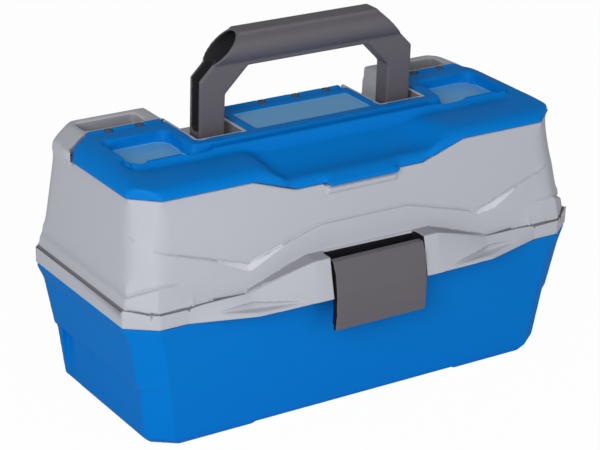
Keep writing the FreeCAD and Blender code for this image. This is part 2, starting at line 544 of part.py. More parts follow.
# Places that several pieces share
RIM_TOP = "(seam_height + rim_height)"
LID_BOTTOM = "(seam_height + seam_gap)"
EAR_OUT = "(tray_half + ear_thick)"
ARM_IN = f"({EAR_OUT} + arm_gap)"
ARM_OUT = f"({ARM_IN} + arm_thick)"
LOW_PIVOT_Y = "(hinge_y - low_swing)"
HIGH_PIVOT_Y = "(hinge_y - high_swing)"
ARM_ROOT_Y = "(hinge_y - arm_back)"
ARM_Z = "(hinge_z - arm_drop)"
ARM_LOW_Y = f"({LOW_PIVOT_Y} - arm_back)"
ARM_HIGH_Y = f"({HIGH_PIVOT_Y} - arm_back)"
TRAY_BOSS_IN = f"({EAR_OUT} + boss_gap)"
ARM_BOSS_IN = f"({ARM_OUT} + seam_gap)"
POCKET_WALL = "(stow_half + wall)"
HINGE_FAR = f"(hinge_inner + {len(LID_KNUCKLES + TUB_KNUCKLES)} * knuckle_length)"


def hinge_knuckle(side, number):
    """The X range of one knuckle of a rear hinge, with half the seam's gap left at each end."""
    near = f"hinge_inner + {number} * knuckle_length + seam_gap / 2"
    far = f"hinge_inner + {number + 1} * knuckle_length - seam_gap / 2"
    return span(side, near, far)


def base_tub():
    """The drafted tub with its lip, feet, end flutes, catch, knuckles and arm bosses."""
    wide_cut = "(tub_cut_x + ledge_step)"
    lip = even_ring("rim_length", "rim_depth", "rim_cut_x", "rim_cut_y", "lip_inset")
    outer = loft("tub_outer", "top", [
        ("0", even_ring("foot_length", "foot_depth", "tub_cut_x", "tub_cut_y")),
        ("bevel_height", even_ring("sill_length", "sill_depth", "tub_cut_x", "tub_cut_y")),
        ("ledge_height", even_ring("ledge_length", "ledge_depth", "tub_cut_x", "tub_cut_y")),
        ("ledge_height + ledge_rise", even_ring("ledge_length + 2 * ledge_step", "ledge_depth", wide_cut,
                                                "tub_cut_y")),
        ("neck_height", even_ring("neck_length", "neck_depth", wide_cut, "tub_cut_y")),
        ("seam_height - lip_height", lip),
        ("seam_height", lip),
    ])
    inner = loft("tub_inner", "top", [
        ("tub_floor", even_ring("sill_length", "sill_depth", "tub_cut_x", "tub_cut_y", "wall")),
        ("ledge_height", even_ring("ledge_length", "ledge_depth", "tub_cut_x", "tub_cut_y", "wall")),
        ("neck_height", even_ring("neck_length", "neck_depth", wide_cut, "tub_cut_y", "wall")),
        ("seam_height + overrun", even_ring("rim_length", "rim_depth", "rim_cut_x", "rim_cut_y",
                                            "(wall + lip_inset)")),
    ])
    flute_in = "(ledge_length / 2 - flute_depth)"
    flutes, liners, bosses, seats = [], [], [], []
    for side in SIDES:
        tag = side_name(side)
        low, high = span(side, flute_in, "ledge_length / 2 + overrun")
        flutes.append(box("flute_" + tag, low, high, "flute_front", "flute_front + flute_width",
                          "-overrun", "ledge_height"))
        low, high = span(side, f"{flute_in} - wall", "ledge_length / 2 + overrun")
        liners.append(box("flute_liner_" + tag, low, high, "flute_front - wall",
                          "flute_front + flute_width + wall", "-overrun", "ledge_height + wall"))
        low, high = span(side, ARM_BOSS_IN, "rim_length / 2")
        bosses.append(rod("arm_boss_" + tag, low, high, ARM_ROOT_Y, ARM_Z, "boss_radius"))
        low, high = span(side, f"{ARM_BOSS_IN} - overrun", f"{ARM_BOSS_IN} + pin_seat")
        seats.append(rod("arm_boss_hole_" + tag, low, high, ARM_ROOT_Y, ARM_Z, "pivot_radius"))
    room = cut("tub_room", inner, liners)
    shell = cut("tub_shell", outer, [room] + flutes)
    boss_pair = common("arm_bosses", [outer, fuse("arm_boss_pair", bosses)])
    arches = [
        box("arch_front", "-arch_length / 2", "arch_length / 2", "-foot_depth / 2 - overrun",
            "-foot_depth / 2 + arch_reach", "-overrun", "arch_height"),
        box("arch_rear", "-arch_length / 2", "arch_length / 2", "foot_depth / 2 - arch_reach",
            "foot_depth / 2 + overrun", "-overrun", "arch_height"),
    ]
    catch = prism("catch", "side", "-hook_half", "hook_half", [
        ("-neck_depth / 2 + wall", "hook_top + seam_gap"),
        ("-catch_front", "hook_top + seam_gap"),
        ("-catch_front", "hook_top + seam_gap + catch_thick"),
        ("-neck_depth / 2 + wall", "hook_top + seam_gap + 2 * catch_thick"),
    ])
    knuckles, pin_holes = [], []
    for side in SIDES:
        for number in TUB_KNUCKLES:
            low, high = hinge_knuckle(side, number)
            tag = f"tub_knuckle_{side_name(side)}_{number}"
            knuckles.append(rod(tag, low, high, "hinge_y", "hinge_z", "hinge_knuckle"))
            knuckles.append(box(tag + "_web", low, high, "rim_depth / 2 - wall",
                                "hinge_y + hinge_knuckle / 2", "seam_height - 2 * hinge_knuckle",
                                "seam_height"))
        low, high = span(side, "hinge_inner - overrun", f"{HINGE_FAR} + overrun")
        pin_holes.append(rod("tub_hinge_hole_" + side_name(side), low, high, "hinge_y", "hinge_z",
                             "hinge_pin_radius"))
    whole = fuse("tub_whole", [shell, boss_pair, catch] + knuckles)
    return cut("base_tub", whole, arches + seats + pin_holes)


def lid_form(name, inset):
    """The lid's outer form, or with an inset the room inside it, before the pockets are added."""
    cuts = ("body_cut_x", "body_cut_y", "rear_cut", "rear_cut")
    rim = ring(f"body_length / 2 - {inset}", f"body_front - {inset}", f"body_rear - {inset}", *cuts)
    crown_places = (f"crown_front - {inset}", f"crown_rear - {inset}")
    crown = ring(f"crown_length / 2 - {inset}", *crown_places, *cuts)
    top = ring(f"block_length / 2 - {inset} / 2", *crown_places, "body_cut_x / 2", "body_cut_y",
               "rear_cut / 2", "rear_cut / 2")
    body = loft(name + "_walls", "top", [
        ("seam_height - overrun" if inset != "0" else f"{RIM_TOP} - wall", rim),
        (RIM_TOP, rim),
        ("crown_height", crown),
        (f"shoulder_height - {inset} / 2", crown),
        (f"block_height - {inset}", top),
    ])
    over = "block_height + overrun"
    front = "-rim_depth"
    corners = cover_corners(f"cover_rear_gap + {inset}")
    corner_start = corners[0][1]
    tools = [
        prism(name + "_cover_room", "top", f"deck_height - {inset}", over, [
            ("-rim_length / 2", front), ("rim_length / 2", front), ("rim_length / 2", corner_start),
            *corners, ("-rim_length / 2", corner_start),
        ]),
        box(name + "_stow", f"-stow_half - {inset}", f"stow_half + {inset}", f"block_front - {inset}",
            "rim_depth", f"stow_floor - {inset}", over),
        prism(name + "_dip", "front", front, f"-dip_rear + {inset}", mirrored([
            (f"dip_low_half + {inset} / 2", f"dip_height - {inset}"),
            (f"dip_high_half + {inset}", f"deck_height - {inset}"),
            (f"dip_high_half + {inset}", over),
        ])),
    ]
    return cut(name, body, tools)


def housing():
    """The bulge that carries the latch: a flat front, two receding wings, scoops in their feet."""
    back = "-body_front + wall"

    def section(low, high, top):
        return [(back, LID_BOTTOM), (f"-({low})", LID_BOTTOM), (f"-({high})", top), (back, top)]

    half = [("housing_half", section("housing_low", "housing_high", "housing_top")),
            ("wing_half", section("wing_low", "wing_high", RIM_TOP)),
            ("wing_end", section("rim_depth / 2", "rim_depth / 2", RIM_TOP))]
    bulge = loft("housing_bulge", "side", [(f"-({x})", points) for x, points in reversed(half)] + half)

    def mouth(depth, low, rise):
        return [("-wing_low - overrun", low), (f"-({depth})", low), (f"-({depth})", f"{low} + {rise}"),
                ("-wing_low - overrun", f"{low} + {rise}")]

    tools = []
    for side in SIDES:
        ends = [("scoop_start", mouth("housing_low", "scoop_low", "seam_gap")),
                ("wing_half", mouth("scoop_floor", "scoop_low", "scoop_rise")),
                ("scoop_end", mouth("scoop_floor", "scoop_low + scoop_rise / 2", "seam_gap"))]
        places = [(x if side > 0 else f"-({x})", points) for x, points in ends]
        tools.append(loft("scoop_" + side_name(side), "side", places if side > 0 else places[::-1]))
    return cut("housing", bulge, tools)


def panel_body(name, front_out, end_out):
    """The lid's drafted walls with the front and the ends moved out, under the crown."""
    rear = ("rear_cut", "rear_cut")
    return loft(name, "top", [
        (f"{RIM_TOP} - wall", ring(f"body_length / 2 + {end_out}", f"body_front + {front_out}", "body_rear",
                                   "body_cut_x", "body_cut_y", *rear)),
        (RIM_TOP, ring(f"body_length / 2 + {end_out}", f"body_front + {front_out}", "body_rear",
                       "body_cut_x", "body_cut_y", *rear)),
        ("crown_height", ring(f"crown_length / 2 + {end_out}", f"crown_front + {front_out}", "crown_rear",
                              "body_cut_x", "body_cut_y", *rear)),
    ])


def front_panels():
    """The lower front panel, which stands out below a wavy step, and the low skirts at the ends."""
    foot = f"{RIM_TOP} - wall"
    wave = prism("wave", "front", "-rim_depth", "0", mirrored([
        ("wave_high_half", "wave_high"), ("wave_low_half", "wave_low"), ("wave_end_half", "wave_end"),
        ("rim_length / 2", "wave_end + wall"), ("rim_length / 2", foot),
    ]))
    panels = [common("wave_panel", [wave, panel_body("wave_body", "step_out", "0")])]
    for side in SIDES:
        corners = [("skirt_start - wall", foot), ("skirt_start", "skirt_mid"),
                   ("wave_end_half", "skirt_high"), ("body_length / 2", "skirt_low"),
                   ("rim_length / 2", "skirt_low"), ("rim_length / 2", foot)]
        places = corners if side > 0 else [(f"-({x})", z) for x, z in reversed(corners)]
        skirt = prism("skirt_" + side_name(side), "front", "-rim_depth", "rim_depth", places)
        body = panel_body("skirt_body_" + side_name(side), "skirt_out", "skirt_end_out")
        panels.append(common("skirt_panel_" + side_name(side), [skirt, body]))
    return panels


def lid_shell():
    """The lid: rim band, drafted body, rear blocks, handle pockets, small compartments, bosses."""
    band_half = even_ring("rim_length", "rim_depth", "rim_cut_x", "rim_cut_y")
    band = loft("rim_band", "top", [(LID_BOTTOM, band_half), (RIM_TOP, band_half)])
    form = lid_form("lid_form", "0")
    room = lid_form("lid_room", "wall")
    blocks, recesses, fillers = [], [], []
    bosses, holes = [], []
    top = "block_height + overrun"
    for side in SIDES:
        tag = side_name(side)
        low, high = span(side, "pocket_inner - wall", POCKET_WALL)
        blocks.append(box("pocket_block_" + tag, low, high, "-pocket_front - wall", "block_front + wall",
                          "stow_floor - wall", "pocket_height"))
        fillers.append(box("pocket_under_" + tag, low, high, "-pocket_front - wall", "block_front + wall",
                           "stow_floor - wall", top))
        low, high = span(side, "pocket_inner", "stow_half")
        recesses.append(box("pocket_" + tag, low, high, "-pocket_front", "block_front + 2 * wall",
                            "stow_floor", top))
        low, high = span(side, "side_bay_inner", "side_bay_outer")
        recesses.append(box("side_bay_" + tag, low, high, "-side_bay_front", "bay_rear", "bay_floor", top))
        low, high = span(side, "side_bay_inner - bay_wall", "side_bay_outer + bay_wall")
        fillers.append(box("side_bay_case_" + tag, low, high, "-side_bay_front - bay_wall",
                           "bay_rear + bay_wall", "bay_floor - bay_wall", top))
        low, high = span(side, "slot_inner", "slot_outer")
        recesses.append(box("slot_" + tag, low, high, "slot_front", "slot_rear",
                            "block_height - slot_depth", top))
        low, high = span(side, "slot_inner - wall", "slot_outer + wall")
        fillers.append(box("slot_case_" + tag, low, high, "slot_front - wall", "slot_rear + wall",
                           "block_height - slot_depth - wall", top))
        low, high = span(side, TRAY_BOSS_IN, "body_length / 2 - wall + seam_gap")
        for which, place in (("low", LOW_PIVOT_Y), ("high", HIGH_PIVOT_Y)):
            bosses.append(rod(f"{which}_tray_boss_{tag}", low, high, place, "hinge_z", "boss_radius"))
            hole_low, hole_high = span(side, f"{TRAY_BOSS_IN} - overrun", f"{TRAY_BOSS_IN} + pin_seat")
            holes.append(rod(f"{which}_tray_boss_hole_{tag}", hole_low, hole_high, place, "hinge_z",
                             "pivot_radius"))
        low, high = span(side, "pocket_inner - wall - overrun", f"{POCKET_WALL} + overrun")
        holes.append(rod("handle_pin_hole_" + tag, low, high, "handle_axis_y", "handle_axis_z",
                         "handle_pin_radius"))
    recesses.append(box("mid_bay", "-mid_bay_half", "mid_bay_half", "-mid_bay_front", "bay_rear",
                        "bay_floor", top))
    fillers.append(box("mid_bay_case", "-mid_bay_half - bay_wall", "mid_bay_half + bay_wall",
                       "-mid_bay_front - bay_wall", "bay_rear + bay_wall", "bay_floor - bay_wall", top))
    slot_top = "housing_top + overrun"
    latch_slot = [
        box("latch_slot", "-slot_half", "slot_half", "-rim_depth", "-slot_back", "seam_height - overrun",
            slot_top),
        box("latch_slot_upper", "-slot_half", "slot_half", "-rim_depth", "-slot_upper_back", RIM_TOP,
            slot_top),
        rod("latch_pin_hole", "-latch_pin_half", "latch_pin_half", "-latch_axis_y", "latch_axis_z",
            "latch_pin_radius"),
    ]
    front_solid = fuse("lid_front_solid", [form, band, housing()] + front_panels())
    front = cut("lid_front", front_solid, latch_slot)
    hollow = cut("lid_hollow", room, fillers)
    thumb = box("thumb_ledge", "-thumb_half", "thumb_half", "-crown_front - thumb_out",
                "-crown_front + wall", "thumb_top - thumb_thick", "thumb_top")
    ears, ear_holes = cover_ears()
    tab_notch = box("tab_notch", "-tab_half - seam_gap", "tab_half + seam_gap", "-rim_depth",
                    "-crown_front + wall", "tongue_low - tab_thick / 2 - seam_gap", "deck_height")
    knuckles = []
    for side in SIDES:
        for number in LID_KNUCKLES:
            low, high = hinge_knuckle(side, number)
            tag = f"lid_knuckle_{side_name(side)}_{number}"
            knuckles.append(rod(tag, low, high, "hinge_y", "hinge_z", "hinge_knuckle"))
            knuckles.append(box(tag + "_web", low, high, "rim_depth / 2 - wall", "hinge_y", "hinge_z",
                                "hinge_z + hinge_knuckle"))
        low, high = span(side, "hinge_inner", HINGE_FAR)
        holes.append(rod("lid_hinge_hole_" + side_name(side), low, high, "hinge_y", "hinge_z",
                         "hinge_pin_radius + pin_fit"))
    hollowed = cut("lid_hollowed", fuse("lid_solid", [front] + blocks), [hollow, tab_notch] + recesses)
    whole = fuse("lid_whole", [hollowed, thumb] + bosses + knuckles + ears)
    return cut("lid_shell", whole, holes + ear_holes)


def hinge_ears():
    """Name, low X and high X of each of the lid's ears in the cover's hinge."""
    places = []
    for side in SIDES:
        for number, share in enumerate(SIDE_EAR_SHARES):
            near = f"side_hinge_inner + {share} * (side_hinge_outer - side_hinge_inner)"
            low, high = span(side, near, f"{near} + ear_length")
            places.append((f"side_ear_{side_name(side)}_{number}", low, high))
    for number, share in enumerate(MID_EAR_SHARES):
        near = f"{share} * mid_hinge_half"
        places.append((f"mid_ear_{number}", near, f"{near} + ear_length"))
    return places


def cover_ears():
    """The lid's ears that carry the cover's pins, and their holes."""
    ears = []
    for name, low, high in hinge_ears():
        ears.append(rod(name, low, high, "cover_axis_y", "cover_axis_z", "cover_knuckle"))
        if name.startswith("side"):
            ears.append(box(name + "_web", low, high, "cover_axis_y", "block_front + wall",
                            "cover_axis_z - cover_knuckle", "cover_axis_z"))
        else:
            ears.append(box(name + "_post", low, high, "cover_axis_y - cover_knuckle / 2",
                            "cover_axis_y + cover_knuckle", "deck_height - wall / 2", "cover_axis_z"))
    holes = [rod(f"cover_pin_seat_{i}", low, high, "cover_axis_y", "cover_axis_z", "cover_pin_radius")
             for i, (low, high) in enumerate(cover_pin_places())]
    return ears, holes


def cover_pin_places():
    """Low and high X of the cover's three pins."""
    places = [span(side, "side_hinge_inner + seam_gap", "side_hinge_outer - seam_gap") for side in SIDES]
    return places + [("-mid_hinge_half + seam_gap", "mid_hinge_half - seam_gap")]


def cover_form(name, inset):
    """The cover's outer form, or with an inset the room under it."""
    under = "deck_height + seam_gap" if inset == "0" else "dip_height - overrun"
    tongue = "tongue_low" if inset == "0" else "dip_height - overrun"
    profile = prism(name + "_length", "side", "-cover_half", "cover_half", [
        (f"-cover_front + {inset}", tongue if inset == "0" else "dip_height - overrun"),
        (f"-cover_front + {inset}", f"deck_height + 2 * cover_wall - {inset} / 2"),
        (f"-(cover_front + brow_y) / 2 - cover_wall / 2 + {inset} / 2",
         f"cover_top - 2 * cover_wall - {inset} / 2"),
        (f"-brow_y + {inset} / 2", f"cover_top - {inset}"),
        (f"cover_rear - {inset}", f"cover_top - {inset}"),
        (f"cover_rear - {inset}", tongue),
    ])
    face_top = [
        (f"cover_half - {inset}", under),
        (f"cover_half - {inset}", f"deck_height + 3 * cover_wall - {inset} / 2"),
        (f"cover_mid_half - {inset} / 2", f"cover_top - cover_wall - {inset} / 2"),
        (f"cover_rim_half - {inset} / 2", f"cover_top - {inset}"),
    ]
    low = [("tongue_half", tongue), ("tongue_root", under)] if inset == "0" else []
    face = prism(name + "_face", "front", "-cover_front - overrun", "cover_rear + overrun",
                 mirrored(low + face_top))
    plan = prism(name + "_plan", "top", "dip_height - 2 * overrun", "cover_top + overrun", [
        (f"-cover_front_half + {inset} / 2", f"-cover_front + {inset}"),
        (f"cover_front_half - {inset} / 2", f"-cover_front + {inset}"),
        (f"cover_half - {inset}", f"-cover_corner_y + {inset} / 2"),
        *cover_corners(f"-{inset}"),
        (f"-cover_half + {inset}", f"-cover_corner_y + {inset} / 2"),
    ])
    over = "cover_top + overrun"
    wedge = prism(name + "_scoop_slope", "side", "-palm_high_half - overrun", "palm_high_half + overrun", [
        ("-cover_front - overrun", f"tongue_low + palm_lift - {inset}"),
        ("-cover_front", f"tongue_low + palm_lift - {inset}"),
        (f"-palm_rear + {inset} / 2", f"cover_top - palm_rear_drop - {inset}"),
        (f"-palm_rear + {inset}", over), ("-cover_front - overrun", over),
    ])
    flare = prism(name + "_scoop_flare", "front", "-cover_front - overrun", "0", mirrored([
        (f"palm_low_half + {inset}", "dip_height - overrun"), (f"palm_low_half + {inset}", "tongue_low"),
        (f"palm_high_half + {inset}", "cover_top - cover_wall"), (f"palm_high_half + {inset}", over),
    ]))
    tools = [common(name + "_scoop", [wedge, flare])]
    for side in SIDES:
        tag = side_name(side)
        near, far = span(side, f"well_inner - {inset}", f"well_outer + {inset}")
        tools.append(box(f"{name}_well_{tag}", near, far, f"-well_front - {inset}", f"well_rear + {inset}",
                         f"well_floor - {inset}", over))
        near, far = span(side, f"notch_inner - {inset}", f"notch_outer + {inset}")
        tools.append(box(f"{name}_notch_{tag}", near, far, f"-notch_front - {inset}", "cover_rear + overrun",
                         "dip_height - 2 * overrun", over))
        near, far = span(side, f"side_hinge_inner - overrun - {inset}",
                         f"side_hinge_outer + seam_gap + {inset}")
        tools.append(box(f"{name}_side_hinge_{tag}", near, far, f"hinge_relief - {inset}",
                         "cover_rear + overrun", "dip_height - 2 * overrun", over))
    tools.append(box(name + "_channel", "-well_inner", "well_inner", f"-well_front - {inset}",
                     f"-channel_rear + {inset}", f"well_floor - {inset}", over))
    tools.append(box(name + "_window", f"-window_half - {inset}", f"window_half + {inset}",
                     f"-window_front - {inset}", f"window_rear + {inset}",
                     f"cover_top - window_drop - {inset}", over))
    tools.append(box(name + "_mid_hinge", f"-notch_inner - {inset}", f"notch_inner + {inset}",
                     f"hinge_relief - {inset}", "cover_rear + overrun", "dip_height - 2 * overrun", over))
    return cut(name, common(name + "_block", [profile, face, plan]), tools)


def top_cover():
    """The cover: crowned rim, two wells joined by a channel, thumb scoop, tab and hinge."""
    behind_tongue = box("behind_tongue", "-cover_half", "cover_half", "-dip_rear - seam_gap",
                        "cover_rear + overrun", "dip_height - overrun", "deck_height + seam_gap")
    shell = cut("cover_shell", cover_form("cover_form", "0"),
                [cover_form("cover_room", "cover_wall"), behind_tongue])
    tab = prism("finger_tab", "front", "-cover_front - tab_out", "-cover_front + cover_wall", mirrored([
        ("tab_half - tab_thick", "tongue_low - tab_thick / 2"), ("tab_half", "tongue_low + tab_thick / 2"),
    ]))
    barrels = []
    ranges = [(side_name(side),) + span(side, "side_hinge_inner + seam_gap", "side_hinge_outer")
              for side in SIDES]
    ranges.append(("mid", "-mid_hinge_half", "mid_hinge_half"))
    for tag, low, high in ranges:
        barrels.append(rod("cover_barrel_" + tag, low, high, "cover_axis_y", "cover_axis_z",
                           "cover_knuckle"))
        barrels.append(box(f"cover_barrel_{tag}_web", low, high, "hinge_relief - cover_wall", "cover_axis_y",
                           "cover_axis_z - cover_wall / 2", "cover_axis_z + cover_wall / 2"))
    reliefs = [box(name + "_relief", f"{low} - seam_gap", f"{high} + seam_gap", "hinge_relief",
                   "cover_rear + overrun", "deck_height", "cover_top + overrun")
               for name, low, high in hinge_ears()]
    pin_holes = [rod(f"cover_pin_hole_{i}", f"{low} - overrun", f"{high} + overrun", "cover_axis_y",
                     "cover_axis_z", "cover_pin_radius + pin_fit")
                 for i, (low, high) in enumerate(cover_pin_places())]
    whole = fuse("cover_whole", [shell, tab] + barrels)
    return cut("top_cover", whole, reliefs + pin_holes)


def handle():
    """The folding handle: two channel legs and a hollow grip that opens at both shoulders."""
    depth = ("leg_front", "leg_rear")
    arch = prism("handle_arch", "front", *depth, mirrored([
        ("grip_inner", "grip_under"), ("leg_inner", "shoulder_low"), ("leg_inner", "leg_bottom"),
        ("leg_outer", "leg_bottom"), ("leg_outer", "shoulder_high"),
        ("leg_outer - (grip_z + grip_radius - shoulder_high)", "grip_z + grip_radius"),
    ]))
    envelope = prism("handle_envelope", "front", "handle_axis_y - grip_radius - overrun",
                     "handle_axis_y + grip_radius + overrun", mirrored([
                         ("leg_outer - (grip_z - grip_radius - shoulder_high)", "grip_z - grip_radius"),
                         ("leg_outer - (grip_z + grip_radius - shoulder_high)", "grip_z + grip_radius"),
                     ]))
    tube = rod("grip_tube", "-leg_outer", "leg_outer", "handle_axis_y", "grip_z", "grip_radius")
    grip = common("grip", [tube, envelope])
    bore = rod("grip_hollow", "-leg_outer - overrun", "leg_outer + overrun", "handle_axis_y", "grip_z",
               "grip_bore")
    tools = [bore]
    for side in SIDES:
        inner, outer = span(side, "leg_inner + leg_wall", "leg_outer + overrun")
        tools.append(box("leg_channel_" + side_name(side), inner, outer, "leg_front + leg_wall",
                         "leg_rear - leg_wall", "hub_top", "grip_z"))
        inner, outer = span(side, "leg_inner - overrun", "leg_outer + overrun")
        tools.append(rod("leg_pin_hole_" + side_name(side), inner, outer, "handle_axis_y", "handle_axis_z",
                         "handle_pin_radius + pin_fit"))
    return cut("handle", fuse("handle_solid", [arch, grip]), tools)


def handle_pins():
    """The two pins that the handle folds about."""
    return group("handle_pins", [
        rod("handle_pin_" + side_name(side), *span(side, "pocket_inner - wall", POCKET_WALL),
            "handle_axis_y", "handle_axis_z", "handle_pin_radius")
        for side in SIDES])


def latch():
    """The front latch: a bulging plate with side walls, a knuckle at its top and an inner hook."""
    def plate(inset):
        return [
            (f"-latch_front + latch_plate + {inset}", "latch_axis_z - latch_knuckle"),
            (f"-latch_front + latch_plate / 6 + {inset}", "(latch_axis_z + latch_bottom) / 2 + latch_plate"),
            (f"-latch_front + {inset}", "(latch_axis_z + 3 * latch_bottom) / 4"),
            (f"-latch_front + latch_plate / 3 + {inset}", "latch_bottom"),
        ]

    knuckle_top = [
        ("-latch_axis_y", "latch_axis_z + latch_knuckle"),
        ("-latch_axis_y - 5 * latch_knuckle / 6", "latch_axis_z + latch_knuckle"),
    ]
    front = knuckle_top + plate("0")
    back = plate("latch_plate")[::-1] + [("-latch_axis_y", "latch_axis_z")]
    face = prism("latch_face", "side", "-latch_half", "latch_half", front + back)
    parts = [face]
    for side in SIDES:
        low, high = span(side, "latch_half - latch_cheek", "latch_half")
        parts.append(prism("latch_cheek_" + side_name(side), "side", low, high, front[:-1] + [
            ("-latch_front + latch_plate", "latch_bottom + latch_plate"), ("-hook_tip", "hook_top"),
            ("-hook_tip", "latch_axis_z")]))
    parts.append(rod("latch_barrel", "-latch_half", "latch_half", "-latch_axis_y", "latch_axis_z",
                     "latch_knuckle"))
    parts.append(box("latch_hook", "-hook_half", "hook_half", "-latch_front + latch_plate / 2", "-hook_tip",
                     "hook_top - hook_thick", "hook_top"))
    solid = fuse("latch_solid", parts)
    bore = rod("latch_bore", "-latch_half - overrun", "latch_half + overrun", "-latch_axis_y",
               "latch_axis_z", "latch_pin_radius + pin_fit")
    return cut("latch", solid, [bore])


def tray(name, front, rear, bottom, top, ears, holes):
    """An open tray with cut corners, slots for its dividers, and ears for its pivots."""
    outer = loft(name + "_outer", "top", [
        (place, ring("tray_half", front, rear, "tray_corner", "tray_corner")) for place in (bottom, top)])
    inner_ring = ring("tray_half - tray_wall", f"{front} - tray_wall", f"{rear} - tray_wall", "tray_corner",
                      "tray_corner")
    inner = loft(name + "_inner", "top", [
        (f"{bottom} + tray_wall", inner_ring), (f"{top} + overrun", inner_ring)])
    ribs = []
    for number, share in enumerate(DIVIDER_SHARES):
        for side in SIDES:
            offset = "(divider_thick / 2 + divider_gap)"
            low, high = span(side, offset, f"{offset} + divider_rib")
            low, high = f"{share} * tray_half + {low}", f"{share} * tray_half + {high}"
            tag = f"{name}_rib_{number}_{side_name(side)}"
            ribs.append(box(tag + "_front", low, high, f"-({front}) + tray_wall / 2",
                            f"-({front}) + tray_wall + divider_rib", bottom, f"{top} - divider_drop"))
            ribs.append(box(tag + "_rear", low, high, f"{rear} - tray_wall - divider_rib",
                            f"{rear} - tray_wall / 2", bottom, f"{top} - divider_drop"))
    whole = fuse(name + "_whole", [cut(name + "_shell", outer, [inner])] + ribs + ears)
    return cut(name, whole, holes)


def lower_tray():
    """The lower tray, whose ears reach up to the lid's bosses."""
    ears, holes = [], []
    for side in SIDES:
        tag = side_name(side)
        low, high = span(side, "tray_half", EAR_OUT)
        ears.append(box("low_ear_plate_" + tag, low, high, f"{LOW_PIVOT_Y} - boss_radius",
                        f"{LOW_PIVOT_Y} + boss_radius", "hinge_z - 3 * boss_radius", "hinge_z"))
        ears.append(rod("low_ear_" + tag, low, high, LOW_PIVOT_Y, "hinge_z", "boss_radius"))
        low, high = span(side, "tray_half", f"{EAR_OUT} + overrun")
        holes.append(rod("low_ear_hole_" + tag, low, high, LOW_PIVOT_Y, "hinge_z", "pivot_radius + pin_fit"))
        low, high = span(side, "tray_half - overrun", f"{EAR_OUT} + overrun")
        holes.append(rod("low_arm_hole_" + tag, low, high, ARM_LOW_Y, ARM_Z, "pivot_radius + pin_fit"))
        low, high = span(side, "tray_half", "tray_half + seam_gap")
        holes.append(box("low_ear_relief_" + tag, low, high, "-low_tray_front", "low_tray_rear",
                         "low_tray_top", "hinge_z + boss_radius + overrun"))
    return tray("lower_tray", "low_tray_front", "low_tray_rear", "low_tray_bottom", "low_tray_top",
                ears, holes)


def upper_tray():
    """The upper tray, whose ears hang down to the arms."""
    ears, holes = [], []
    for side in SIDES:
        tag = side_name(side)
        low, high = span(side, "tray_half", EAR_OUT)
        ears.append(prism("high_ear_plate_" + tag, "side", low, high, [
            (f"{ARM_HIGH_Y} - boss_radius", ARM_Z), (f"{ARM_HIGH_Y} + boss_radius", f"{ARM_Z}"),
            (HIGH_PIVOT_Y, "hinge_z - boss_radius"), (f"{HIGH_PIVOT_Y} + boss_radius", "hinge_z"),
            (f"{HIGH_PIVOT_Y} + boss_radius", "hinge_z + 3 * boss_radius"),
            (f"{ARM_HIGH_Y} - boss_radius", "hinge_z + 3 * boss_radius"),
        ]))
        ears.append(rod("high_ear_" + tag, low, high, ARM_HIGH_Y, ARM_Z, "boss_radius"))
        low, high = span(side, "tray_half", f"{EAR_OUT} + overrun")
        turning = "pivot_radius + pin_fit"
        holes.append(rod("high_ear_hole_" + tag, low, high, HIGH_PIVOT_Y, "hinge_z", turning))
        holes.append(rod("high_arm_hole_" + tag, low, high, ARM_HIGH_Y, ARM_Z, turning))
        low, high = span(side, "tray_half", "tray_half + seam_gap")
        holes.append(box("high_ear_relief_" + tag, low, high, "-high_tray_front", "high_tray_rear",
                         f"{ARM_Z} - boss_radius - overrun", "high_tray_bottom"))
    return tray("upper_tray", "high_tray_front", "high_tray_rear", "high_tray_bottom", "high_tray_top",
                ears, holes)


def dividers(name, front, rear, bottom, top):
    """The loose dividers of one tray, standing in its slots."""
    plates = [box(f"{name}_{number}", f"{share} * tray_half - divider_thick / 2",
                  f"{share} * tray_half + divider_thick / 2", f"-({front}) + tray_wall + divider_gap",
                  f"{rear} - tray_wall - divider_gap", f"{bottom} + tray_wall", f"{top} - divider_drop")
              for number, share in enumerate(DIVIDER_SHARES)]
    return group(name, plates)


def arm(side):
    """One of the two arms that keep both trays level."""
    tag = side_name(side)
    low, high = span(side, ARM_IN, ARM_OUT)
    bar = box("arm_bar_" + tag, low, high, ARM_HIGH_Y, ARM_ROOT_Y, f"{ARM_Z} - arm_half",
              f"{ARM_Z} + arm_half")
    eyes = [rod(f"arm_eye_{i}_{tag}", low, high, place, ARM_Z, "arm_half")
            for i, place in enumerate((ARM_HIGH_Y, ARM_ROOT_Y))]
    holes = [rod(f"arm_root_hole_{tag}", f"{low} - overrun", f"{high} + overrun", ARM_ROOT_Y, ARM_Z,
                 "pivot_radius + pin_fit")]
    holes += [rod(f"arm_hole_{i}_{tag}", f"{low} - overrun", f"{high} + overrun", place, ARM_Z,
                  "pivot_radius") for i, place in enumerate((ARM_HIGH_Y, ARM_LOW_Y))]
    return cut("arm_" + tag, fuse("arm_solid_" + tag, [bar] + eyes), holes)


def pin_pair(name, near, far, y, z, radius):
    """The same pin at both ends of the box."""
    return group(name, [rod(f"{name}_{side_name(side)}", *span(side, near, far), y, z, radius)
                        for side in SIDES])


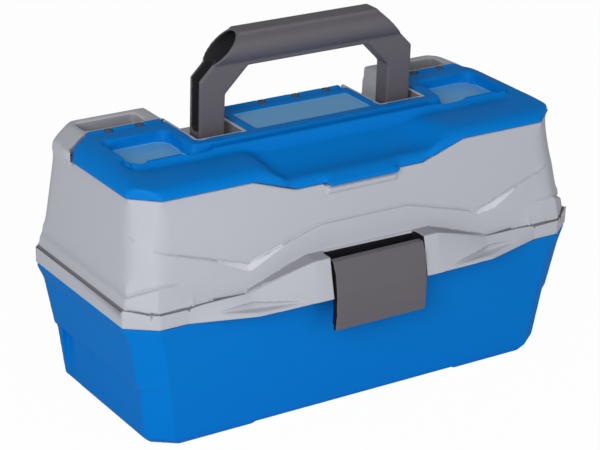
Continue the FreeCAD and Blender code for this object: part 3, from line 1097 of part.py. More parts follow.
def pins():
    """All the pins that the hinges, trays, arms, latch and cover turn on."""
    seat = f"{TRAY_BOSS_IN} + pin_seat"
    return [
        pin_pair("lid_hinge_pins", "hinge_inner", HINGE_FAR, "hinge_y", "hinge_z", "hinge_pin_radius"),
        pin_pair("lower_tray_pins", "tray_half + seam_gap", seat, LOW_PIVOT_Y, "hinge_z", "pivot_radius"),
        pin_pair("upper_tray_pins", "tray_half + seam_gap", seat, HIGH_PIVOT_Y, "hinge_z", "pivot_radius"),
        pin_pair("arm_root_pins", ARM_IN, f"{ARM_BOSS_IN} + pin_seat", ARM_ROOT_Y, ARM_Z, "pivot_radius"),
        pin_pair("lower_arm_pins", "tray_half - tray_wall", ARM_OUT, ARM_LOW_Y, ARM_Z, "pivot_radius"),
        pin_pair("upper_arm_pins", "tray_half + seam_gap", ARM_OUT, ARM_HIGH_Y, ARM_Z, "pivot_radius"),
        rod("latch_pin", "-latch_pin_half", "latch_pin_half", "-latch_axis_y", "latch_axis_z",
            "latch_pin_radius"),
        group("side_cover_pins", [
            rod(f"side_cover_pin_{i}", low, high, "cover_axis_y", "cover_axis_z", "cover_pin_radius")
            for i, (low, high) in enumerate(cover_pin_places()[:2])]),
        rod("middle_cover_pin", *cover_pin_places()[2], "cover_axis_y", "cover_axis_z", "cover_pin_radius"),
    ]


nodes = [base_tub(), lid_shell(), top_cover(), handle(), handle_pins(), latch(), lower_tray(), upper_tray(),
         dividers("lower_tray_dividers", "low_tray_front", "low_tray_rear", "low_tray_bottom",
                  "low_tray_top"),
         dividers("upper_tray_dividers", "high_tray_front", "high_tray_rear", "high_tray_bottom",
                  "high_tray_top")]
nodes += [arm(side) for side in SIDES] + pins()

doc.recompute()
for item in doc.Objects:
    if {"Invalid", "Error"} & set(item.State):
        raise RuntimeError(f"{item.Name}: {item.State}")
for node in nodes:
    if node.Shape.isNull() or not node.Shape.isValid():
        raise RuntimeError(f"{node.Label} has no valid shape")

os.makedirs("parts", exist_ok=True)
for node in nodes:
    node.Shape.exportStep(f"parts/{node.Label}.step")
    print(f"{node.Label}: {len(node.Shape.Solids)} solids, {node.Shape.Volume / 1000:.1f} cm3")
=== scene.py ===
# %% [markdown]
# # A portable fishing tackle box
#
# The box is a blue tub, a grey lid, a blue top cover, a dark latch and a dark folding handle. All
# of them are injection mouldings, so nearly everything the eye reads is plastic: how it was
# moulded, how its edges were rounded, and where the mould was polished. Shade in some hollows, a
# reflection on the smooth floors and a highlight on one chamfer are painted into the colours.
#
# The imported model gives every piece at its real size, in metres, with X along the front, Y to the
# back and Z up. This script gives those pieces their edges and finishes, and sets up the light
# and camera.

import json
import math

import bpy
import numpy as np
from mathutils import Matrix, Vector


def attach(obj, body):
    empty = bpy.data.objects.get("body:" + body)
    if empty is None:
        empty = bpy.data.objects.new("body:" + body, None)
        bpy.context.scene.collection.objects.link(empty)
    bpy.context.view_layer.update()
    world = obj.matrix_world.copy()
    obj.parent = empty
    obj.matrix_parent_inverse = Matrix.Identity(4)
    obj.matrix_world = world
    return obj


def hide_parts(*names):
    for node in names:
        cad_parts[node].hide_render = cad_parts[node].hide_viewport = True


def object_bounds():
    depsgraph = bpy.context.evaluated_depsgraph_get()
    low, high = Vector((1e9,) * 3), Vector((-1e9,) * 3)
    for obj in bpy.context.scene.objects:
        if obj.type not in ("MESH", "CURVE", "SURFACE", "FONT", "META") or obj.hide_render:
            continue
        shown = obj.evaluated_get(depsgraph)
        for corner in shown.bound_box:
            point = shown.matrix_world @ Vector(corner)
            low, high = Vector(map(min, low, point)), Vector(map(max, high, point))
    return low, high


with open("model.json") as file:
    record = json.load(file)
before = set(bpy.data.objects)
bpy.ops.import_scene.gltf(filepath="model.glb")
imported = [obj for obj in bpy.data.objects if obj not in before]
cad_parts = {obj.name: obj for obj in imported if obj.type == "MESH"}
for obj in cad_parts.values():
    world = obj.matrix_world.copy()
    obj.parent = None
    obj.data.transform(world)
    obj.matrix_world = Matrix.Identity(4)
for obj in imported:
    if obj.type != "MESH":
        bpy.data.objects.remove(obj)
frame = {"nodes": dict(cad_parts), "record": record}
cad_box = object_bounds()
nodes = frame["nodes"]
MM = 0.001
print("pieces:", len(nodes), "box:", [round(v, 4) for corner in cad_box for v in corner])

# %% [markdown]
# ## Colour
#
# Colours are chosen as sRGB hex values, the way a paint program shows them. Blender's shaders
# work in linear light, so one function turns each value to linear.

# %% Colours
BLUE = "#0074C8"
BLUE_COVER = "#0077CC"
GREY = "#B4B7BF"
DARK = "#5E5B61"
TRAY_GREY = "#BDBEC2"
DIVIDER_CLEAR = "#D5D8DC"
STEEL = "#B8B8B6"


def linear(hex_colour):
    """The linear RGBA of an sRGB hex value."""
    channels = [int(hex_colour[i:i + 2], 16) / 255 for i in (1, 3, 5)]
    return [c / 12.92 if c <= 0.04045 else ((c + 0.055) / 1.055) ** 2.4 for c in channels] + [1.0]


def shade(hex_colour, amount):
    """The linear colour made darker, below 1, or lighter, above 1."""
    return [min(1.0, c * amount) for c in linear(hex_colour)[:3]] + [1.0]


print("the shell's blue in linear light:", [round(c, 3) for c in linear(BLUE)[:3]])

# %% [markdown]
# ## Adding nodes
#
# A material is a small network. This one function adds a node, sets what it is given, and links
# what it is given, so that each material below reads like a list of what it is made of.

# %% One function adds a node
def add_node(tree, kind, links=None, **settings):
    """A new node. Settings are its own properties or, by name, its inputs; links feed its inputs."""
    new = tree.nodes.new(kind)
    for name, value in settings.items():
        if hasattr(new, name):
            setattr(new, name, value)
        else:
            new.inputs[name.replace("_", " ")].default_value = value
    for name, socket in (links or {}).items():
        tree.links.new(socket, new.inputs[name])
    return new


def new_material(name):
    """An empty material, its tree, and its output node."""
    material = bpy.data.materials.new(name)
    material.use_nodes = True
    material.node_tree.nodes.clear()
    return material, material.node_tree, material.node_tree.nodes.new("ShaderNodeOutputMaterial")


def per_metre(size_mm):
    """The scale that gives a pattern features of this size, since one unit is a metre."""
    return 1 / (size_mm * MM)


print("a pattern of 1 mm features has the scale", round(per_metre(1)))

# %% [markdown]
# ## Moulded polypropylene
#
# Tackle boxes are moulded in polypropylene, because it is light, tough and shrugs off water. The
# mould is spark eroded to a fine matt grain, so the surface scatters light and shows only a soft
# sheen. Two more things tell the eye that it is plastic: the melt leaves faint clouds as it flows
# and cools, and no edge is sharp, because a sharp edge won't fill.
#
# Real spark grain is about 0.1 mm across, finer than a pixel of the render, so it is drawn at
# about 1 mm. Polypropylene's IOR is 1.49. The handle and latch are nylon, which is close to it,
# and the trays' dividers are clear-grade polystyrene, which comes out of the mould with more
# gloss.

# %% Moulded plastics
PLASTIC_IOR = 1.49
GRAIN_MM = 1.1
GRAIN_DETAIL = 2.0
CLOUD_MM = 60
CLOUD_DETAIL = 3.0
CLOUD_DEPTH = 0.03
GLOSS_SPREAD = 0.05
# Blender's mix node keeps its two colours, and the mixed one, at these places.
MIX_FIRST, MIX_SECOND, MIX_RESULT = 6, 7, 2


def moulded_plastic(name, colour, roughness, sheen_level, grain_height=0.035):
    """A moulded plastic: clouded colour, uneven roughness and fine grain, its height in mm."""
    material, tree, output = new_material(name)
    where = add_node(tree, "ShaderNodeTexCoord").outputs["Object"]
    clouds = add_node(tree, "ShaderNodeTexNoise", {"Vector": where},
                      Scale=per_metre(CLOUD_MM), Detail=CLOUD_DETAIL)
    grains = add_node(tree, "ShaderNodeTexNoise", {"Vector": where},
                      Scale=per_metre(GRAIN_MM), Detail=GRAIN_DETAIL)
    tint = add_node(tree, "ShaderNodeMix", {"Factor": clouds.outputs["Fac"]}, data_type="RGBA")
    tint.inputs[MIX_FIRST].default_value = shade(colour, 1 - CLOUD_DEPTH)
    tint.inputs[MIX_SECOND].default_value = shade(colour, 1 + CLOUD_DEPTH)
    uneven = add_node(tree, "ShaderNodeMapRange", {"Value": clouds.outputs["Fac"]})
    uneven.inputs["To Min"].default_value = roughness - GLOSS_SPREAD
    uneven.inputs["To Max"].default_value = roughness + GLOSS_SPREAD
    relief = add_node(tree, "ShaderNodeBump", {"Height": grains.outputs["Fac"]},
                      Distance=grain_height * MM)
    surface = add_node(tree, "ShaderNodeBsdfPrincipled",
                       {"Base Color": tint.outputs[MIX_RESULT],
                        "Roughness": uneven.outputs["Result"],
                        "Normal": relief.outputs["Normal"]}, IOR=PLASTIC_IOR)
    surface.inputs["Specular IOR Level"].default_value = sheen_level
    tree.links.new(surface.outputs["BSDF"], output.inputs["Surface"])
    return material


finishes = {
    "blue_shell": moulded_plastic("moulded_blue_polypropylene", BLUE,
                                  roughness=0.6, sheen_level=0.05),
    "blue_cover": moulded_plastic("moulded_blue_cover_polypropylene", BLUE_COVER,
                                  roughness=0.5, sheen_level=0.06),
    "grey_shell": moulded_plastic("moulded_grey_polypropylene", GREY,
                                  roughness=0.5, sheen_level=0.3),
    "dark_plastic": moulded_plastic("moulded_charcoal_nylon", DARK,
                                    roughness=0.45, sheen_level=0.4, grain_height=0.06),
    "tray_plastic": moulded_plastic("moulded_tray_polypropylene", TRAY_GREY,
                                    roughness=0.45, sheen_level=0.4),
    "divider_plastic": moulded_plastic("moulded_divider_polystyrene", DIVIDER_CLEAR,
                                       roughness=0.25, sheen_level=0.5, grain_height=0.01),
}
print("plastics:", ", ".join(finishes))

# %% [markdown]
# ## Polished places, painted shade and a painted highlight
#
# Not all of a mould is grained alike. The floors of the cover's wells, the channel and the middle
# panel are smoother, and their blue is painted paler: a painted reflection of the white room. The
# hollow of the grip and the channels of the legs are left rough, as the core pin left them, and
# their darkness is painted shade. Deep pockets and grooves get painted shade, darker than the open
# walls, and the latch's sides, which lie between the cheeks of its housing, get the darkest
# painted shade of all. The wave's chamfer gets a smoother, paler grey: a painted highlight.

# %% Smoother blue with a painted reflection, painted shade and a painted highlight
# A paler blue: a painted reflection of the white room on the cover's smooth floors.
FLOOR_PAINTED_REFLECTION = "#62A8DC"
# Painted shade for the grip's hollow and the legs' channels.
CORE_PAINTED_SHADE = "#2B2A2E"
# The darkest painted shade, for the latch's sides and the gap it lies in.
SIDE_PAINTED_SHADE = "#151417"
# Painted shade for the rear blocks' pockets and the wings' tops.
POCKET_PAINTED_SHADE = "#96969D"
# Painted shade for the groove and the pockets round the handle's feet.
GROOVE_PAINTED_SHADE = "#77777E"
# Painted shade for the lid's ears in the hinge, so they read as dark notches.
EAR_PAINTED_SHADE = "#4A5260"
# A painted highlight for the wave's chamfer.
CHAMFER_PAINTED_HIGHLIGHT = "#CBCCD4"
# The smooth floors' finish is smoother, and its paler blue is a painted reflection.
floor_reflection_paint = moulded_plastic("smooth_polypropylene_painted_reflection", FLOOR_PAINTED_REFLECTION,
                              roughness=0.35, sheen_level=0.4, grain_height=0.004)
# Painted shade for the handle's hollow grip and channels, on a rougher finish.
core_shade_paint = moulded_plastic("rough_nylon_painted_core_shade", CORE_PAINTED_SHADE,
                             roughness=0.65, sheen_level=0.2, grain_height=0.05)
# The darkest painted shade, on the latch's sides and in its gap.
latch_shade_paint = moulded_plastic("charcoal_nylon_painted_side_shade", SIDE_PAINTED_SHADE,
                              roughness=0.6, sheen_level=0.15, grain_height=0.05)
# Painted shade in the rear blocks' pockets.
pocket_shade_paint = moulded_plastic("polypropylene_painted_pocket_shade", POCKET_PAINTED_SHADE,
                              roughness=0.6, sheen_level=0.2)
# Painted shade in the groove and in the pockets round the handle's feet.
groove_shade_paint = moulded_plastic("polypropylene_painted_groove_shade", GROOVE_PAINTED_SHADE,
                              roughness=0.7, sheen_level=0.15)
# Painted shade on the lid's hinge ears.
ear_shade_paint = moulded_plastic("polypropylene_painted_hinge_shade", EAR_PAINTED_SHADE,
                           roughness=0.6, sheen_level=0.2)
# Painted shade on the tops of the housing's wings.
wing_shade_paint = moulded_plastic("polypropylene_painted_wing_shade", POCKET_PAINTED_SHADE,
                            roughness=0.6, sheen_level=0.15)
# A painted highlight on the wave's chamfer, a smoother and paler grey.
chamfer_highlight_paint = moulded_plastic("polypropylene_painted_chamfer_highlight", CHAMFER_PAINTED_HIGHLIGHT,
                              roughness=0.3, sheen_level=0.5, grain_height=0.01)
print("materials so far:", len(bpy.data.materials))

# %% [markdown]
# ## Pin steel
#
# The pins are cut from drawn steel wire. Drawing leaves long fine scratches along the wire, so
# the noise is stretched along X, the way every pin lies. A metal keeps the default IOR.

# %% Drawn steel wire
WIRE_SCRATCH_MM = 0.6
WIRE_STRETCH = 0.04
WIRE_DETAIL = 4.0
WIRE_SMOOTHEST = 0.22
WIRE_ROUGHEST = 0.42


def drawn_steel(name, colour):
    """Bright drawn wire, with roughness streaked along its length."""
    material, tree, output = new_material(name)
    place = add_node(tree, "ShaderNodeTexCoord")
    along = add_node(tree, "ShaderNodeMapping", {"Vector": place.outputs["Object"]})
    along.inputs["Scale"].default_value = (WIRE_STRETCH, 1, 1)
    streaks = add_node(tree, "ShaderNodeTexNoise", {"Vector": along.outputs["Vector"]},
                       Scale=per_metre(WIRE_SCRATCH_MM), Detail=WIRE_DETAIL)
    uneven = add_node(tree, "ShaderNodeMapRange", {"Value": streaks.outputs["Fac"]})
    uneven.inputs["To Min"].default_value = WIRE_SMOOTHEST
    uneven.inputs["To Max"].default_value = WIRE_ROUGHEST
    surface = add_node(tree, "ShaderNodeBsdfPrincipled", {"Roughness": uneven.outputs["Result"]},
                       Metallic=1.0)
    surface.inputs["Base Color"].default_value = linear(colour)
    tree.links.new(surface.outputs["BSDF"], output.inputs["Surface"])
    return material


finishes["pin_steel"] = drawn_steel("drawn_steel_wire", STEEL)
print("finishes in the record's slots:", len(finishes))

# %% [markdown]
# ## Every piece gets its finish
#
# The record says which finish each piece has, so the materials are handed out from there.

# %% Hand out the finishes
for part in frame["record"]["subparts"]:
    mesh = nodes[part["node"]].data
    mesh.materials.clear()
    mesh.materials.append(finishes[part["material_slot"]])

# %% [markdown]
# ## Rounded edges
#
# A mould has no sharp edges: the melt won't fill one, and the hand wouldn't like it. The packed
# pieces are sharp. A bevel on every edge folds over itself where thin ribs, pins and ears meet,
# so the rounding is done the way a sander would do it. A copy of the piece is covered with a fine
# even skin, the skin is relaxed so that every edge gives way a little, and at the end the flat
# parts are thinned out again.
#
# One pass of relaxing spreads an edge by about half the skin's spacing, and passes add up as
# squares do, so 100 passes on a 0.7 mm skin round an edge over about 3.5 mm.

# %% A fine skin over a copy of a piece
RELAX_STEP = 0.5


def baked(piece):
    """Put the modifiers' result in the piece's own mesh."""
    evaluated = piece.evaluated_get(bpy.context.evaluated_depsgraph_get())
    made = bpy.data.meshes.new_from_object(evaluated)
    piece.modifiers.clear()
    piece.data = made


def skinned(node, name, skin_mm, passes):
    """A copy of a node under a fine skin, relaxed everywhere by a few passes."""
    piece = bpy.data.objects.new(name, nodes[node].data.copy())
    bpy.context.scene.collection.objects.link(piece)
    skin = piece.modifiers.new("skin", "REMESH")
    skin.mode = "VOXEL"
    skin.voxel_size = skin_mm * MM
    relax = piece.modifiers.new("relax", "SMOOTH")
    relax.factor = RELAX_STEP
    relax.iterations = passes
    baked(piece)
    print(name, "skin corners:", len(piece.data.vertices))
    return piece


# %% [markdown]
# ## Five mouldings get a skin
#
# Only the tub, the lid, the cover, the handle and the latch are large enough for their edges to
# show. The smaller the piece, the finer its skin. The handle is gripped, so it is relaxed the
# most.

# %% Skin the shells
SKIN_MM = {"base_tub": 0.9, "lid_shell": 0.75, "top_cover": 0.7, "handle": 0.7, "latch": 0.5}
FIRST_PASSES = {"base_tub": 3, "lid_shell": 2, "top_cover": 4, "handle": 12, "latch": 6}
shells = {node: skinned(node, node + "_moulding", SKIN_MM[node], FIRST_PASSES[node])
          for node in SKIN_MM}

# %% [markdown]
# ## Working on the skin
#
# Each corner of the skin has a place in millimetres. A rule gives every corner a share from 0 to
# 1, and the corners with a share are relaxed more, or moved. Two small functions draw such
# shares: a ramp rises from 0 to 1, and a bump rises to 1 and falls again.

# %% Places, shares and local relaxing
def places_of(piece):
    """The places of the skin's corners in millimetres."""
    places = np.empty(3 * len(piece.data.vertices))
    piece.data.vertices.foreach_get("co", places)
    return places.reshape(-1, 3) / MM


def normals_of(piece):
    """The way each corner of the skin faces."""
    normals = np.empty(3 * len(piece.data.vertices))
    piece.data.vertex_normals.foreach_get("vector", normals)
    return normals.reshape(-1, 3)


def put_places(piece, places):
    """Move the skin's corners to their new places."""
    piece.data.vertices.foreach_set("co", (places * MM).ravel())
    piece.data.update()


def melt(piece, share, passes, axes=(0, 1, 2)):
    """Relax the corners that have a share, each towards the mean of its neighbours."""
    places = places_of(piece)
    ends = np.empty(2 * len(piece.data.edges), dtype=np.int32)
    piece.data.edges.foreach_get("vertices", ends)
    ends = ends.reshape(-1, 2)
    soft = share > 0
    near = ends[soft[ends].any(axis=1)]
    first = np.concatenate([near[:, 0], near[:, 1]])
    second = np.concatenate([near[:, 1], near[:, 0]])
    second = second[soft[first]]
    first = first[soft[first]]
    chosen = np.flatnonzero(soft)
    row_of = np.zeros(len(share), dtype=np.int32)
    row_of[chosen] = np.arange(len(chosen))
    rows = row_of[first]
    neighbours = np.bincount(rows, minlength=len(chosen))
    for _ in range(passes):
        for axis in axes:
            total = np.bincount(rows, weights=places[second, axis], minlength=len(chosen))
            pull = total / neighbours - places[chosen, axis]
            places[chosen, axis] += pull * share[chosen] / 2
    put_places(piece, places)
    print(piece.name, "corners melted:", len(chosen))


def ramp(value, start, end):
    """0 at start and before it, 1 at end and after it, straight between."""
    return np.clip((value - start) / (end - start), 0, 1)


def bump(value, middle, half):
    """1 at the middle, falling to 0 half the width away."""
    return np.clip(1 - np.abs(value - middle) / half, 0, 1)


# %% [markdown]
# ## The joint between cover and lid
#
# The cover's lower edge and the lid's edge under it lie a little higher on the real box than on
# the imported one, outside the tongue. Both skins are lifted there by the same rule, so they still
# meet.

# %% Lift the joint
JOINT_LIFT = 3.1
TONGUE_LOW = 164.4
JOINT_Z = 172.2
LIFT_FULL_END = JOINT_Z + 1
LIFT_END = 178
BLOCKS_NEAR = 25
BLOCKS_FADE = 8


def joint_lift(places):
    """How far each corner rises: fully at the joint, not at all at the tongue or at the blocks."""
    z = places[:, 2]
    rise = ramp(z, TONGUE_LOW, JOINT_Z) * (1 - ramp(z, LIFT_FULL_END, LIFT_END))
    return JOINT_LIFT * rise * (1 - ramp(places[:, 1], BLOCKS_NEAR, BLOCKS_NEAR + BLOCKS_FADE))


for node in ("lid_shell", "top_cover"):
    places = places_of(shells[node])
    lift = joint_lift(places)
    places[:, 2] += lift
    put_places(shells[node], places)
    print(node, "corners lifted:", np.count_nonzero(lift), "by up to", round(lift.max(), 2), "mm")

# %% [markdown]
# ## The cover's crown and thumb scoop
#
# The front of the real cover is one soft form. It rolls up from its lower edge to the wells
# without a flat top, and the thumb scoop sinks into it as a hollow with a thick rolled lip.
# Moulders draw such a form as heights over the plan, and so does this cell: one row of heights
# for the border and one for the scoop, from the front to the back, blended along the length. At
# the ends the border falls away by a row of heights of its own.

# %% Heights of the crown
PLAN_Y = [-61.8, -60, -57, -52, -45, -37, -29, -20]
BORDER_Z = [177.9, 180.2, 181.8, 183, 183.8, 184.1, 183.6, 181.6]
SCOOP_Z = [169.6, 171.2, 171.2, 170.2, 170.8, 173.2, 177.4, 181.2]
SCOOP_HALF = 56
SCOOP_FADE = 20
CREST_Z = 187.8
BORDER_TOP_Z = 184
CREST_FROM_X = (146, 158)
CREST_FROM_Y = (-42, -16)
END_X = [150, 157, 166, 171, 173.4]
END_Z = [187.8, 187.8, 185.6, 182, 178.6]


def crown_height(x, y):
    """Height of the cover's outer face in front of the wells."""
    scoop = 1 - ramp(np.abs(x), SCOOP_HALF, SCOOP_HALF + SCOOP_FADE)
    scoop = scoop * scoop * (3 - 2 * scoop)
    border = np.interp(y, PLAN_Y, BORDER_Z)
    rise = (CREST_Z - BORDER_TOP_Z) * ramp(np.abs(x), *CREST_FROM_X) * ramp(y, *CREST_FROM_Y)
    border = border + rise
    height = border + (np.interp(y, PLAN_Y, SCOOP_Z) - border) * scoop
    return np.minimum(height, np.interp(np.abs(x), END_X, END_Z))


print("crown at the front, middle and well, in mm:",
      [round(float(crown_height(100, y)), 1) for y in (-60, -40, -20)])

# %% [markdown]
# ## Bring the cover's skin to those heights
#
# Corners of the outer face go to the drawn height. Corners under it stay where they are, or go
# down far enough to leave the wall its thickness. The scoop's lip is stretched up to meet the
# hollow, and the border beside the wells is lowered to the same rule.

# %% Lay the cover's skin over the crown
WELL_FRONT = -20
WELL_END = 154
SHELL_THICK = 1.6
EDGE = 0.3
LEVEL = 0.25
FACING = 0.3
LIP_Y = -60.6
FRONT_LOW_Z = 165
LIP_LOW_Z = 164.6
LIP_FULL_Z = 166.6
LIP_HIGH_Z = 167.5
END_LOW_Z = 178
END_BACK_Y = -10
END_SLOPE_X = 157

cover = shells["top_cover"]
places = places_of(cover)
normals = normals_of(cover)
x, y, z = places.T
target = crown_height(x, y)
in_front = (y < WELL_FRONT - EDGE) & (y > LIP_Y) & (z > FRONT_LOW_Z)
faces_scoop = (normals[:, 1] < -FACING) | (normals[:, 0] * np.sign(x) < -FACING)
outer = (normals[:, 2] > LEVEL) | ((np.abs(normals[:, 2]) <= LEVEL) & faces_scoop)
new_z = np.where(outer, target, np.minimum(z, target - SHELL_THICK))
new_z = np.where(in_front, new_z, z)

on_lip = (y <= LIP_Y) & (np.abs(x) < SCOOP_HALF + SCOOP_FADE)
lip_rise = (target - LIP_FULL_Z) * ramp(z, LIP_LOW_Z, LIP_FULL_Z) * (z < LIP_HIGH_Z)
new_z = np.where(on_lip, z + lip_rise, new_z)

on_end = (y >= WELL_FRONT - EDGE) & (np.abs(x) > WELL_END + EDGE)
end_fall = np.maximum(0, CREST_Z - target) * ramp(z, END_LOW_Z, CREST_Z) * (y < END_BACK_Y)
new_z = np.where(on_end, z - end_fall * (np.abs(x) < END_SLOPE_X), new_z)
print("largest fall and rise of the cover's skin, in mm:",
      round((new_z - z).min(), 1), round((new_z - z).max(), 1))
places[:, 2] = new_z
put_places(cover, places)

# %% [markdown]
# ## Soft in section, and soft in plan
#
# Two melts finish the cover. The first rounds its border and scoop in every direction, but leaves
# the lower edge, the wells and the hinge alone. The second moves corners in plan only, so the
# upright corners of the wells, of the channel's mouths and of the handle's notches turn round
# while their floors and rims keep their heights.

# %% Melt the crown, and round the wells and notches in plan
DIP_X = [52, 86]
DIP_Z = [TONGUE_LOW, JOINT_Z + JOINT_LIFT]
EDGE_KEPT = 1.2
FRONT_RIM_KEPT = 0.5
END_RIM_KEPT = 1
SOFT_FADE = 3
# Each upright corner: distance from the middle, y, and how far round it the skin is soft.
PLAN_CORNERS = ((104, -12.5, 15), (104, 24, 8), (154, 24, 9), (154, -20, 11),
                (95, -3.5, 8), (53, -3.5, 8))
FULL_PART = 3
OVER_FLOOR_Z = (178.6, 179.4)
CROWN_PASSES = 120
PLAN_PASSES = 250
LAST_PASSES = 60


def crown_softness(places):
    """1 on the cover's border and in the scoop, 0 at its lower edge, wells and hinge."""
    x, y, z = places.T
    edge = np.interp(np.abs(x), DIP_X, DIP_Z)
    front = ramp(WELL_FRONT - FRONT_RIM_KEPT - y, 0, SOFT_FADE)
    end = ramp(np.abs(x) - WELL_END - END_RIM_KEPT, 0, SOFT_FADE)
    return np.maximum(front, end) * ramp(z - edge, EDGE_KEPT, SOFT_FADE)


def plan_softness(places):
    """1 round the upright corners of the wells, of the channel's mouths and of the notches."""
    x, y, z = places.T
    share = np.zeros(len(places))
    for corner_x, corner_y, reach in PLAN_CORNERS:
        away = np.hypot(np.abs(x) - corner_x, y - corner_y)
        share = np.maximum(share, ramp(reach - away, 0, reach / FULL_PART))
    return share * ramp(z, *OVER_FLOOR_Z)


melt(cover, crown_softness(places_of(cover)), CROWN_PASSES)
melt(cover, plan_softness(places_of(cover)), PLAN_PASSES, axes=(0, 1))
melt(cover, crown_softness(places_of(cover)), LAST_PASSES)

# %% [markdown]
# ## Where the lid's walls are
#
# Several forms of the lid follow its leaning walls: the skirts, the wave and the groove. So the
# walls are written down once: how far out they stand at the rim band, how much they lean, how far
# the wavy panel and the low skirts stand out of them, and where the corners are cut.

# %% The lid's walls
BAND_TOP = 105.5
WALL_TOP = 173
WALL_END = 180.3
WALL_FRONT = 72.2
END_LEAN = 9.3 / (WALL_TOP - BAND_TOP)
FRONT_LEAN = 11.8 / (WALL_TOP - BAND_TOP)
PANEL_OUT = 1.5
SKIRT_OUT = 2.5
SKIRT_END_OUT = 1.2
SKIRT_START = 140
SKIRT_BLEND = 8
CUT_TURN_X = 0.684
CUT_TURN_Y = 0.73
CUT_REACH = 167.7
CUT_WEIGHT = 1.5
CUT_BACK_Y = -40
NOT_CUT = -99
FRONT_Y = -60


def panel_out(x, blend):
    """How far the panel and the skirts stand out of the front, blended where a skirt starts."""
    return np.interp(np.abs(x), [SKIRT_START - blend, SKIRT_START + blend],
                     [PANEL_OUT, SKIRT_OUT])


def out_of_wall(places):
    """How far a corner lies outside the lid's walls, their panels and skirts."""
    x, y, z = places.T
    rise = z - BAND_TOP
    front = -y - (WALL_FRONT + panel_out(x, SKIRT_BLEND) - FRONT_LEAN * rise)
    end = np.abs(x) - (WALL_END + SKIRT_END_OUT - END_LEAN * rise)
    cut = CUT_WEIGHT * (CUT_TURN_X * np.abs(x) - CUT_TURN_Y * y - CUT_REACH + END_LEAN * rise)
    return np.maximum(np.maximum(front, end), np.where(y < CUT_BACK_Y, cut, NOT_CUT))


lid = shells["lid_shell"]
print("lid corners outside its walls:", np.count_nonzero(out_of_wall(places_of(lid)) > 0))

# %% [markdown]
# ## The skirts fade in
#
# The low skirts stand out of the lid's corners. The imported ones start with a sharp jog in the
# front. On the real box they fade in, so the skin is moved to a blended line and melted in depth
# only, which keeps the ledge under it flat.

# %% Ease the start of each skirt
WALL_NEAR = 3
SHARP = 0.01
FOOT_LOW_Z = (103.5, 104.5)
FOOT_HIGH_Z = (123, 118)
JOG_HALF = 6
JOG_Z = (106.8, 119)
JOG_DEEP = 1.5
JOG_PASSES = 60

places = places_of(lid)
x, y, z = places.T
foot = bump(out_of_wall(places), 0, WALL_NEAR) * (y < FRONT_Y)
foot = foot * ramp(z, *FOOT_LOW_Z) * ramp(z, *FOOT_HIGH_Z)
places[:, 1] -= (panel_out(x, SKIRT_BLEND) - panel_out(x, SHARP)) * foot
put_places(lid, places)
on_jog = (z > JOG_Z[0]) * (z < JOG_Z[1]) * (y < FRONT_Y) * (np.abs(out_of_wall(places)) < JOG_DEEP)
melt(lid, bump(np.abs(x), SKIRT_START, JOG_HALF) * on_jog, JOG_PASSES, axes=(1,))

# %% [markdown]
# ## The lid's rolled corners
#
# The lid's upright corners are wide cuts whose edges are rolled, not creased, and the rims of the
# rear blocks' pockets are rolled over too, but less.

# %% Melt the lid's corners
CORNER_X = (150, 154)
CORNER_FOOT_Z = (119, 123)
CORNER_HEAD_Z = (173, 169)
SKIRT_HALF = 12
SKIRT_FOOT_Z = (111, 114)
SKIRT_HEAD_Z = (123, 120)
FRONT_FACE_Y = (60, 62)
BLOCK_SHARE = 0.12
BLOCK_TOP_Z = (176, 179)
BLOCK_BACK_Y = (45.5, 47.5)
LID_PASSES = 260


def lid_softness(places):
    """1 on the upright corners and where a skirt begins, less on the rear blocks' rims."""
    x, y, z = places.T
    corner = ramp(np.abs(x), *CORNER_X) * ramp(z, *CORNER_FOOT_Z) * ramp(z, *CORNER_HEAD_Z)
    skirt = bump(np.abs(x), SKIRT_START, SKIRT_HALF) * ramp(z, *SKIRT_FOOT_Z)
    skirt = skirt * ramp(z, *SKIRT_HEAD_Z) * ramp(-y, *FRONT_FACE_Y)
    block = BLOCK_SHARE * ramp(z, *BLOCK_TOP_Z) * ramp(y, *BLOCK_BACK_Y)
    return np.maximum(np.maximum(corner, 2 * np.minimum(skirt, 0.5)), block)


melt(lid, lid_softness(places_of(lid)), LID_PASSES)

# %% [markdown]
# ## The wave's chamfer
#
# A wave runs across the lid's front: below it the panel stands out by 1.5 mm. At its two low
# points the step is not a ledge but a chamfer, which catches the light. The skin under the wave's
# line is pressed back there, most at the line and not at all where the chamfer ends.

# %% Press in the chamfer
WAVE_X = [36, 94.8, 162, 176]
WAVE_Z = [138, 122.5, 143, 151]
CHAMFER_WIDE = 5
# The middle of each chamfer along the front, and half its length.
LEFT_CHAMFER = (-92, 32)
RIGHT_CHAMFER = (109, 24)
CHAMFER_LOW_Z = 110
LEAST_TALL = 0.1


def wave_depth(x, z):
    """Height of a corner under the wave's step, and how tall the chamfer is there."""
    under = np.interp(np.abs(x), WAVE_X, WAVE_Z) - z
    left = bump(x, *LEFT_CHAMFER) * (x < 0)
    right = bump(x, *RIGHT_CHAMFER) * (x > 0)
    return under, CHAMFER_WIDE * np.maximum(left, right)


places = places_of(lid)
normals = normals_of(lid)
# These three are views of the places, so they follow when the places change.
x, y, z = places.T
under, tall = wave_depth(x, z)
on_front = (y < FRONT_Y) & (out_of_wall(places) > -1) & (z > CHAMFER_LOW_Z)
on_chamfer = on_front & (under > 0) & (under < tall)
slope = PANEL_OUT * (1 - np.clip(under / np.maximum(tall, LEAST_TALL), 0, 1))
places[:, 1] += np.where(on_chamfer, slope, 0)
print("corners on the chamfer:", np.count_nonzero(on_chamfer))

# %% [markdown]
# ## The creases
#
# A thin crease marks the wave's line and the top edge of each skirt, like a line drawn with a
# blunt needle. The skin is pressed in along its own normals, in a V about 2 mm wide, so that it
# turns with the walls.

